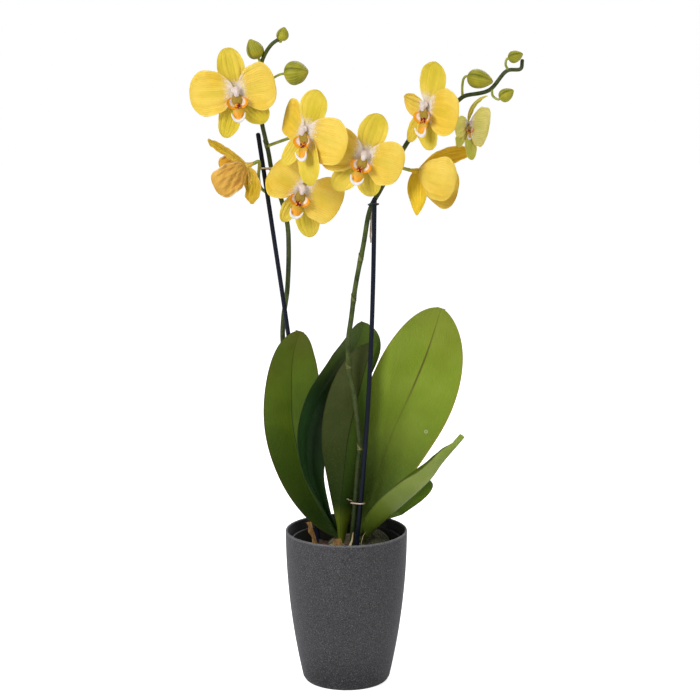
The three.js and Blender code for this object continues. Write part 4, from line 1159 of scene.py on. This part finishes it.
LIP_LOOKS = {
    # colours from base to edge, strength of the stripes and of the spots, roughness
    "lip_cup": ([(0.0, (0.42, 0.30, 0.03)), (0.24, (0.80, 0.66, 0.40)), (0.38, (0.88, 0.76, 0.72)),
                 (0.54, (0.88, 0.70, 0.58)), (0.66, (0.92, 0.40, 0.008)), (1.0, (0.90, 0.34, 0.004))],
                0.12, 0.12, 0.38),
    "lip_tongue": ([(0.0, (0.90, 0.34, 0.006)), (0.36, (0.60, 0.38, 0.02)), (0.58, (0.92, 0.38, 0.008)),
                    (0.80, (0.92, 0.44, 0.03)), (1.0, (0.88, 0.82, 0.80))], 0.15, 0.10, 0.38),
    "lip_column": ([(0.0, (0.74, 0.60, 0.42)), (0.4, (0.78, 0.66, 0.60)), (1.0, (0.80, 0.70, 0.66))],
                   0.08, 0.14, 0.8),
    "lip_callus": ([(0.0, (0.84, 0.30, 0.01)), (1.0, (0.90, 0.38, 0.02))], 0.3, 1.0, 0.38),
    "lip_throat": ([(0.0, (0.80, 0.62, 0.36)), (0.3, (0.42, 0.31, 0.03)), (0.75, (0.36, 0.26, 0.02)),
                    (1.0, (0.60, 0.22, 0.02))], 0.7, 0.15, 0.45),
    "lip_anchor": ([(0.0, (0.88, 0.82, 0.80)), (1.0, (0.90, 0.86, 0.88))], 0.0, 0.0, 0.45),
}
# The lip's side lobes: height of their middle, half width and depth, the inner edge as a share of the outer,
# how far forward their foot and edge stand, and how far round they reach, in degrees.
CUP = {"z": -8, "wide": 11, "tall": 9.8, "inner": 0.42, "back": -5, "front": -10, "reach": 128}
LIP_START = 2.6  # how far in front of the bloom's middle the column starts


def tepal_surface(t, seed, crumple):
    """A tepal whose middle line leaves the centre at its lift and bends evenly by its curl, and its front.

    Its halves are up and down times the outline, cupped by v squared, and may be rolled and twisted about
    the middle line. The relief is laid over it, and grows with crumple.
    """
    creases = np.random.default_rng(seed + 200).uniform((-0.75, -0.35, 0.15, 0.5), (-0.5, -0.1, 0.4, 0.8))
    side = -1 if t["angle"] < 0 else 1
    angle, lift, curl = (math.radians(t[key]) for key in ("angle", "lift", "curl"))
    direction = np.array([math.sin(angle), 0, math.cos(angle)])
    sideways = side * np.array([-math.cos(angle), 0, math.sin(angle)])
    forward = np.array([0, -1, 0])

    def at(u, v):
        slope = lift + curl * u
        out = TEPAL_START + t["length"] * (np.sin(slope) - math.sin(lift)) / curl
        ahead = -t["length"] * (np.cos(slope) - math.cos(lift)) / curl - t["set"]
        edge = 1 + RELIEF["edge"] * crumple * ripple(seed + 90, 11 * u, 2 * np.sign(v))
        half = np.where(v > 0, t["up"], t["down"]) * outline(u, t["rise"], t["fall"]) * edge
        rim = np.abs(v) ** 3 * np.sqrt(u)
        wave = RELIEF["wave"] * ripple(seed, 11 * u, 3 * v)
        wave = wave + RELIEF["fine_wave"] * ripple(seed + 20, 29 * u, 5 * v)
        fold = RELIEF["fold"] * crumple * ripple(seed + 50, 6 * v, 2.5 * u) * np.abs(v)
        wrinkle = RELIEF["wrinkle"] * (crumple - 1) * ripple(seed + 70, 19 * u, 12 * v)
        crease = RELIEF["crease"] * min(crumple, 1.5) * sum(np.exp(-(((v - c) / 0.07) ** 2)) for c in creases)
        groove = RELIEF["groove"] * np.exp(-((v / 0.08) ** 2))
        within = (fold + wrinkle - crease - groove) * np.sin(np.pi * u)
        raised = t["cup"] * half * v * v + crumple * rim * wave + within - RELIEF["turned"] * rim**2
        twist = np.radians(t.get("roll", 0) + t.get("twist", 0) * u)
        flat = v * half * np.cos(twist) - raised * np.sin(twist)
        lifted = raised * np.cos(twist) + v * half * np.sin(twist)
        point = (out - lifted * np.sin(slope))[..., None] * direction + flat[..., None] * sideways
        return point + (ahead + lifted * np.cos(slope))[..., None] * forward

    return at, -side


def tepal_thickness(u, v):
    """Thick along the middle and at the foot, thin at the margin."""
    return TEPAL_THICKNESS * (1 - 0.5 * v**4) * (1.05 - 0.35 * u)


def about_y(shape):
    """A shape turned about Z made to stand along Y."""
    return (shape[0][:, [0, 2, 1]], *shape[1:])


def lip_cup(u, v):
    """Two side lobes as an open cup: u from the inner to the outer edge, v round it from end to end."""
    around = np.radians(CUP["reach"]) * v
    ends = np.sqrt(np.maximum(1 - np.abs(v) ** 4, 0.12))
    height = ends * (0.72 + 0.28 * np.sin(around) ** 2) * (1 + 0.04 * ripple(4, 8 * v))
    share = CUP["inner"] + (1 - CUP["inner"]) * height * u
    ahead = CUP["back"] + (CUP["front"] - CUP["back"]) * height * u**1.4 + 0.25 * ripple(3, 9 * v, 2 * u) * u
    x = CUP["wide"] * share * np.sin(around)
    return np.stack([x, ahead, CUP["z"] - CUP["tall"] * share * np.cos(around)], -1)


def lip_tongue(u, v):
    """The middle lobe: a narrow tongue that bends forward and down, widest in the middle."""
    half = 2.0 + 3.0 * np.sin(np.pi * np.clip(u, 0, 1) ** 0.8)
    ahead = -5.8 - 6.2 * np.sin(np.pi * 0.6 * u) + 0.35 * half * v * v
    return np.stack([v * half, ahead, -11 - 16.5 * u], -1)


def ball(centre, radii, rows=14, sides=20):
    """An ellipsoid about centre."""
    return rings(on_sphere(*round_grid(86, rows, sides)) * np.array(radii) + np.array(centre))


def lip_parts():
    """Shapes of the lip and column, each with its look: column, throat, cup, tongue, callus and tendrils."""
    t = np.linspace(0, 1, 16)
    column = spline([(0, -LIP_START, 3.4), (0, -4.9, 2.2), (0, -7.0, -0.6)])(t)
    parts = [
        (tube(column, 2.6 + 0.7 * np.sin(0.85 * np.pi * t), 20), "lip_column"),
        (ball((0, -7.6, -2.2), (2.4, 1.4, 2.0)), "lip_column"),
        (ball((2.5, -4.2, 2.2), (2.2, 1.5, 3.0)), "lip_column"),
        (ball((-2.5, -4.2, 2.2), (2.2, 1.5, 3.0)), "lip_column"),
        (ball((0, -5.8, -7), (5, 1.7, 7.2)), "lip_throat"),
        (shell(lip_cup, lambda u, v: 1.0 - 0.35 * u + 0 * v, 20, 64), "lip_cup"),
        (shell(lip_tongue, lambda u, v: 1.2 - 0.4 * v**2 + 0 * u, 26, 12), "lip_tongue"),
    ]
    for side in (1, -1):
        for shift in (-1.3, 1.3):
            centre = (side * 1.3, -8.4 + 0.3 * shift, -13.0 + 0.8 * shift)
            parts.append((ball(centre, (1.7, 1.8, 1.9)), "lip_callus"))
        tendril = np.array([(0, -11.6, -27.2), (2.8, -12.2, -26.2), (5.4, -12.8, -23.2), (6.6, -13.4, -19.2)])
        parts.append((tube(spline(tendril * (side, 1, 1))(t), 1.8 - 1.4 * t**1.5, 12), "lip_anchor"))
    return [(shape, list(LIP_LOOKS).index(look)) for shape, look in parts]


LIP_PARTS = lip_parts()


def bloom_place(bloom):
    """How a bloom's own points are set in the plant: lean, nod, turn, size and centre."""
    spin = rotation("z", math.radians(bloom["turn"])) @ rotation("x", math.radians(bloom["nod"]))
    spin = spin @ rotation("y", math.radians(bloom["lean"]))
    return spin, bloom.get("size", 1), np.array(bloom["at"], float)


def build_bloom(number, bloom, looks):
    """One bloom: a piece of five tepals on a short hub, and a piece of the lip and column."""
    spin, size, centre = bloom_place(bloom)

    def place(p):
        return (p * size) @ spin.T + centre

    age = "_" + bloom["look"] if "look" in bloom else ""
    crumple = bloom.get("crumple", 1.0)
    tepals = Piece().add(about_y(lathe(HUB, 24)), 1, place)
    for order, (name, usual) in enumerate(TEPALS.items()):
        surface, front = tepal_surface({**usual, **bloom.get(name, {})}, 10 * number + order, crumple)
        kind = 0 if name.endswith("petal") else 1
        tepals.add(shell(surface, tepal_thickness, *TEPAL_GRID, front), kind, place)
    tepals.build([looks["petal" + age], looks["sepal" + age]], "tepal", bloom["name"] + "_tepals")

    lip_size = bloom.get("lip", 1)
    shift = np.array([0, LIP_START * (lip_size - 1), 0])
    lip = Piece()
    for shape, kind in LIP_PARTS:
        lip.add(shape, kind, lambda p: place(p * lip_size + shift))
    lip.build([looks[key] for key in LIP_LOOKS], "lip", bloom["name"] + "_lip")


# ------------------------------------------------------------------ spikes and ties

STEM_FOOT = 2.7  # radius low down
STEM_TIP = 1.8
STEM_THINNING = 2
NODE_SWELL, NODE_SPAN = 0.16, 0.006  # how much a stem swells at a node, and over what share of its length
BUD_STALK = (1.2, 0.0)  # radius where a stalk leaves the stem, and how much it grows on the way
BLOOM_STALK = (1.5, 0.2)
BUD_REACH, BLOOM_REACH = 7, 9  # how far a stalk usually runs straight into its bud or bloom
BRACT = {"wrap": 172, "length": 7.5, "below": 2, "clear": 0.15, "flare": 0.5}
# Each spike: its stem from foot to tip; the heights of its nodes; and its buds, each with the height at which
# its stalk leaves the stem, its centre, axis, length and radius, and the places its stalk passes through.
SPIKES = dict(
    spike_left=dict(
        stem=[
            (1, 19, 118), (-2, 21, 150), (-9, 37, 190), (-14, 47, 218), (-36, 54, 256), (-59, 57, 304),
            (-66, 55, 345), (-65, 52, 372), (-61, 48, 400), (-59, 40, 445), (-60, 34, 470), (-66, 27, 497),
            (-75, 19, 527), (-78, 15, 545), (-84, 10, 574), (-88, 4, 602), (-83, -4, 635), (-74, -10, 651),
            (-65, -14, 658),
        ],
        nodes=(213, 331, 552),
        buds=[
            dict(foot=641, at=(-90, -6, 647), axis=(-0.4, -0.1, 0.85), length=19, radius=8.4),
            dict(foot=656, at=(-62, -15, 662), axis=(0.25, -0.3, 0.9), length=13, radius=6, reach=2),
            dict(foot=611, at=(-49, -16, 625), axis=(0.8, -0.4, 0.1), length=23, radius=11.8),
        ],
    ),
    spike_right=dict(
        stem=[
            (5, -11, 118), (6, -10, 150), (9, -10, 188), (12, -9, 229), (14, -8.6, 250), (12, -9, 270),
            (8, -9, 301), (3, -8, 325), (2, -6, 357), (5, -5, 380), (9, -4, 411), (17, -3, 453),
            (24, -3, 490), (34, -4, 509), (46, -5, 531), (65, -7, 563), (78, -9, 578), (109, -12, 597),
            (116, -13, 602), (140, -16, 608), (157, -20, 627), (170, -22, 629), (171.5, -22, 637),
        ],
        nodes=(247, 331, 399, 440),
        buds=[
            dict(
                foot=601, at=(130, -18, 619), axis=(0.95, -0.2, -0.2), length=24, radius=9.4,
                via=[(113.8, -13.5, 612), (115.2, -14.8, 619.5)], reach=2,
            ),
            dict(
                foot=610, at=(156, -24, 604), axis=(0.75, -0.2, 0.5), length=15, radius=6.6,
                via=[(143.5, -18.5, 602.5)], reach=2,
            ),
            dict(
                foot=627.5, at=(164, -26, 641), axis=(0.9, -0.2, 0.3), length=14, radius=6,
                via=[(155.3, -22, 633)], reach=2,
            ),
        ],
    ),
)
TIE_SLOPE = 0.18  # a tie dips a little towards the back
PAPER, DARK = 0, 1  # looks of a tie's loop
TIES = {
    # stem, stick, height, loop's look, wire radius, way of the twisted tail and radius of its two strands
    "tie_low": ("spike_right", "stick_right", 190, PAPER, 0.7, (-5, -7, 4), 0.38),
    "tie_middle": ("spike_right", "stick_right", 495, DARK, 0.7, (-1, 1, -34), 0.9),
    "tie_left": ("spike_left", "stick_left", 528, PAPER, 0.9, (5, -2, 3), 0.5),
}


def stem_radius(t):
    """The stem thins from foot to tip: foot + (tip - foot) * t^thinning."""
    return STEM_FOOT + (STEM_TIP - STEM_FOOT) * t**STEM_THINNING


def turn_onto(axis):
    """Columns: two directions across an axis, and the axis itself."""
    axis = unit(np.array(axis, float))
    side = unit(np.cross(axis, (0.2, 0.9, 0.1)))
    return np.stack([side, np.cross(axis, side), axis], 1)


def bud_shape(bud):
    """An egg, fatter at its stalk end, with three furrows that meet at the tip."""
    a, b = round_grid(84, 22, 48)
    height = np.sin(a)
    point = 0.16 * np.clip(height, 0, 1) ** 10
    crease = np.exp(-((((b * 3 / (2 * np.pi)) % 1 - 0.5) / 0.07) ** 2)) * np.cos(a)
    wide = bud["radius"] * (1 - 0.18 * height) * (1 - 0.03 * np.cos(3 * b) - 0.07 * crease) * np.cos(a)
    grid = np.stack([wide * np.cos(b), wide * np.sin(b), bud["length"] / 2 * (height + point)], -1)
    points, quads, caps, uv, _ = rings(grid)
    side = np.concatenate([crease.ravel(), [0.3, 0.3]])
    return points @ turn_onto(bud["axis"]).T + np.array(bud["at"]), quads, caps, uv, side


def stalk(start, end, arrive, radius, reach, via=()):
    """A stalk from the stem to the back of a bud or bloom, which it reaches along arrive.

    Its radius grows evenly and flares at both ends.
    """
    knee = end + arrive * reach
    middle = list(via) or [start + (knee - start) * 0.55]
    t = np.linspace(0, 1, 36)
    flare = 1 + 0.12 * np.exp(-t / 0.05) + 0.15 * np.exp(-(1 - t) / 0.08)
    return tube(spline([start, *middle, knee, end])(t), (radius[0] + radius[1] * t) * flare, 14)


def bract(at, t):
    """A pointed scale wrapped round the stem at a node: longest on one side, flaring at its edge."""
    centre = at(t)
    upright = turn_onto(at(t + 0.004) - centre)

    def surface(u, v):
        turn = math.radians(BRACT["wrap"]) * v
        length = BRACT["length"] * (0.15 + 0.85 * np.cos(turn / 2) ** 3)
        radius = stem_radius(t) + BRACT["clear"] + BRACT["flare"] * u**2
        local = np.stack([radius * np.cos(turn), radius * np.sin(turn), length * u - BRACT["below"]], -1)
        return local @ upright.T + centre

    return shell(surface, lambda u, v: 0.45 - 0.3 * u + 0 * v, 10, 32)


def build_spike(name, spike, materials):
    """A tapering stem with a scale at each node, its buds, and the stalks of its buds and blooms."""
    at = spline(spike["stem"])
    t = np.linspace(0, 1, 320)
    knots = np.array([at_height(at, z) for z in spike["nodes"]])
    swell = 1 + NODE_SWELL * np.exp(-(((t[:, None] - knots) / NODE_SPAN) ** 2)).sum(1)
    piece = Piece().add(tube(at(t), stem_radius(t) * swell, 20))
    for knot in knots:
        piece.add(bract(at, float(knot)), 3)

    def add_stalk(of, end, arrive, radius, reach):
        start = at(at_height(at, of["foot"]))
        piece.add(stalk(start, end, arrive, radius, of.get("reach", reach), of.get("via", ())), 1)

    for bud in spike["buds"]:
        axis = unit(np.array(bud["axis"], float))
        piece.add(bud_shape(bud), 2)
        add_stalk(bud, np.array(bud["at"]) - axis * bud["length"] * 0.45, -axis, BUD_STALK, BUD_REACH)
    for bloom in BLOOMS:
        if bloom["spike"] == name:
            spin, size, centre = bloom_place(bloom)
            back = spin @ np.array([0, 1, 0])
            add_stalk(bloom, centre + back * (NECK * size + GAP), back, BLOOM_STALK, BLOOM_REACH)
    piece.build(materials, "stem", name)


def build_tie(name, materials):
    """A wire loop round a stem and a stick, with a twisted tail of two strands."""
    spike, stick, height, loop_look, wire, tail, strand = TIES[name]
    curves = spline(SPIKES[spike]["stem"]), spline(STICKS[stick])
    stem, support = (curve(at_height(curve, height)) for curve in curves)
    line = unit(support - stem)
    side = np.array([-line[1], line[0], 0])
    room = STEM_FOOT + wire + 2 * GAP
    path = []
    for centre, sense in ((stem, -1), (support, 1)):
        for turn in np.radians([-80, -40, 0, 40, 80]):
            path.append(centre + sense * room * (line * math.cos(turn) + side * math.sin(turn)))
    ring = spline(path[-2:] + path + path[:2])(np.linspace(0, 1, 90) * 11 / 13 + 1.5 / 13)
    ring[:, 2] -= TIE_SLOPE * (ring[:, 1] - (stem[1] + support[1]) / 2)
    piece = Piece().add(tube(ring, wire, 12), loop_look)
    start = stem - line * room
    t = np.linspace(0, 1, 24)
    axis = turn_onto(tail)
    for phase in (0, math.pi):
        around = 0.5 * wire * (axis[:, :1] * np.cos(9 * t + phase) + axis[:, 1:2] * np.sin(9 * t + phase)).T
        piece.add(tube(start + np.outer(t, tail) * (1 + 0.15 * phase / math.pi) + around, strand, 10), PAPER)
    piece.build(materials, "tie", name)


# ------------------------------------------------------------------ assembly


FIBRES = {
    # dark and pale colour, roughness, and how fine the clouds are
    "bark_red": ((0.045, 0.014, 0.006), (0.190, 0.066, 0.022), 0.85, 160),
    "bark_dark": ((0.010, 0.007, 0.004), (0.060, 0.032, 0.014), 0.9, 150),
    "bark_grey": ((0.030, 0.022, 0.014), (0.130, 0.090, 0.050), 0.9, 140),
    "crown_skin": ((0.020, 0.016, 0.009), (0.085, 0.065, 0.030), 0.8, 110),
    "root_skin": ((0.105, 0.105, 0.060), (0.250, 0.250, 0.180), 0.7, 90),
    "dry_scrap": ((0.360, 0.250, 0.130), (0.660, 0.540, 0.360), 0.8, 150),
    "dry_sheath": ((0.090, 0.040, 0.010), (0.340, 0.190, 0.060), 0.75, 150),
    "bract_skin": ((0.070, 0.072, 0.018), (0.240, 0.225, 0.065), 0.6, 140),
    "tie_coating": ((0.008, 0.016, 0.006), (0.030, 0.042, 0.014), 0.5, 300),
}


def build_orchid():
    """Every visible piece, each standing for its CAD node."""
    fibres = {name: fibre_material(name, *look) for name, look in FIBRES.items()}
    build_cover_pot(pot_material())
    build_nursery_pot(nursery_material())
    stick_look = stick_material()
    for name in STICKS:
        build_stick(name, stick_look)
    build_bark([fibres["bark_red"], fibres["bark_dark"], fibres["bark_grey"], mound_material()])
    build_crown([fibres["crown_skin"], fibres["root_skin"], fibres["dry_scrap"]])
    for name in SHEATHS:
        build_sheath(name, fibres["dry_sheath"])
    for name, leaf in LEAVES.items():
        build_leaf(name, leaf)

    looks = {name: petal_material(name, {**PETAL_USUAL, **look}) for name, look in PETAL_LOOKS.items()}
    looks |= {name: lip_material(name, *look) for name, look in LIP_LOOKS.items()}
    for number, bloom in enumerate(BLOOMS, 1):
        build_bloom(number, bloom, looks)

    spike_looks = [stem_material(), pedicel_material(), bud_material(), fibres["bract_skin"]]
    for name, spike in SPIKES.items():
        build_spike(name, spike, spike_looks)
    tie_looks = [tie_material(), fibres["tie_coating"]]
    for name in TIES:
        build_tie(name, tie_looks)


build_stage()
build_orchid()
